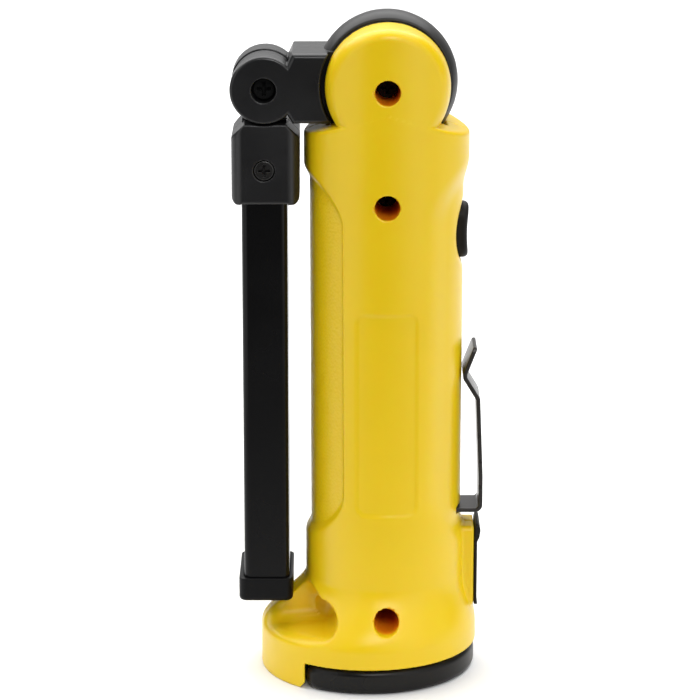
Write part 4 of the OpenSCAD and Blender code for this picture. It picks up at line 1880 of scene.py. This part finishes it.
@dataclass(frozen=True)
class Softbox:
    """A soft panel of light that faces the flashlight: where it stands round it, its size and its brightness.

    Azimuth is in degrees from the camera's side towards +x, tilt in degrees downwards, lengths in metres.
    """

    name: str
    azimuth: float
    distance: float
    size: tuple[float, float]
    middle: float
    radiance: float
    tilt: float = 0.0

    def hang(self) -> None:
        """Stands the panel up, out of the camera's own sight."""
        light = area_lamp(self.name, self.size, self.radiance)
        turn = math.radians(self.azimuth)
        light.location = (self.distance * math.sin(turn), -self.distance * math.cos(turn), self.middle)
        light.rotation_euler = (math.radians(90 - self.tilt), 0, turn)


@dataclass(frozen=True)
class ShadePaintedSweep(Finish):
    """A pale studio sweep whose colour is painted dark in front of the flashlight: painted shade in place of a
    shadowed front floor.

    The gloss black panel mirrors that dark stretch. Places are in metres along y.
    """

    front: float = -0.85
    back: float = 0.31
    bend: float = 0.6
    bend_share: float = 0.42
    # painted shade: the floor's colour in front of the flashlight
    dark: tuple[float, float, float, float] = (0.015, 0.015, 0.015, 1)

    def material(self) -> bpy.types.Material:
        """The pale finish with its painted shade falling off to dark along y.

        Returns:
            The material.
        """
        material = super().material()
        tree = material.node_tree
        parts = tree.nodes.new("ShaderNodeSeparateXYZ")
        tree.links.new(tree.nodes.new("ShaderNodeTexCoord").outputs["Object"], parts.inputs["Vector"])
        share = tree.nodes.new("ShaderNodeMapRange")
        share.inputs["From Min"].default_value = self.front
        share.inputs["From Max"].default_value = self.back
        tree.links.new(parts.outputs["Y"], share.inputs["Value"])
        target = tree.nodes["Principled BSDF"].inputs["Base Color"]
        ramp = link_ramp(tree, share.outputs["Result"], target, self.dark, self.shade(1))
        middle = ramp.elements.new(self.bend)
        middle.color = self.shade(self.bend_share)
        return material


@dataclass
class Studio:
    """Pale floor with painted shade in front, soft lights and the camera."""

    camera_spot: tuple[float, float, float] = (-0.0102, -0.8514, 0.31157)
    camera_tilt: float = 14.44
    lens: float = 160.1
    sensor: float = 36.0
    world: float = 0.06
    boxes: tuple[Softbox, ...] = (
        Softbox("left panel", -53, 0.36, (0.25, 0.6), 0.3, 1.08),
        Softbox("right wide panel", 50, 0.5, (0.9, 0.8), 0.4, 0.68),
        Softbox("right bright panel", 42, 0.42, (0.2, 0.7), 0.35, 0.72),
        Softbox("front high panel", 8, 1.15, (0.6, 0.45), 0.95, 7.6, tilt=36),
        Softbox("backdrop", 180, 1.3, (2.6, 1.2), 0.55, 0.55),
    )
    sky_spot: tuple[float, float, float] = (-0.4, 0.75, 1.1)
    sky_size: tuple[float, float] = (2.6, 1.9)
    sky_radiance: float = 3.3

    def floor(self) -> None:
        """Lays a large pale floor, painted dark in front as painted shade."""
        bpy.ops.mesh.primitive_plane_add(size=14)
        floor = bpy.context.object
        floor.name = "floor"
        # the floor's painted shade lies in its material
        dress(floor, ShadePaintedSweep("pale sweep with painted shade", (0.84, 0.84, 0.84), 0.8, mottle=0.0, bump=0.02).material())

    def build(self) -> None:
        """Sets up floor, lights, world and camera."""
        self.floor()
        for box in self.boxes:
            box.hang()
        area_lamp("sky panel", self.sky_size, self.sky_radiance).location = self.sky_spot
        world = bpy.data.worlds.new("studio")
        world.use_nodes = True
        world.node_tree.nodes["Background"].inputs["Color"].default_value = (1, 1, 1, 1)
        world.node_tree.nodes["Background"].inputs["Strength"].default_value = self.world
        scene = bpy.context.scene
        scene.world = world
        scene.view_settings.view_transform = "Standard"
        data = bpy.data.cameras.new("camera")
        data.lens = self.lens
        data.sensor_width = self.sensor
        camera = bpy.data.objects.new("camera", data)
        camera.location = self.camera_spot
        camera.rotation_euler = (math.radians(90 - self.camera_tilt), 0, 0)
        scene.collection.objects.link(camera)
        scene.camera = camera


def main() -> None:
    """Builds every sub-assembly and the studio."""
    logging.basicConfig(level=logging.INFO, format="%(name)s: %(message)s")
    Studio().build()
    parts = (
        Handle(), Drum(), Link(), LampHead(), LampPanel(), Screws(), Button(), BeltClip(), PortCover(), Foot()
    )
    for part in parts:
        part.build()
    dress_rest()


if __name__ == "__main__":
    main()
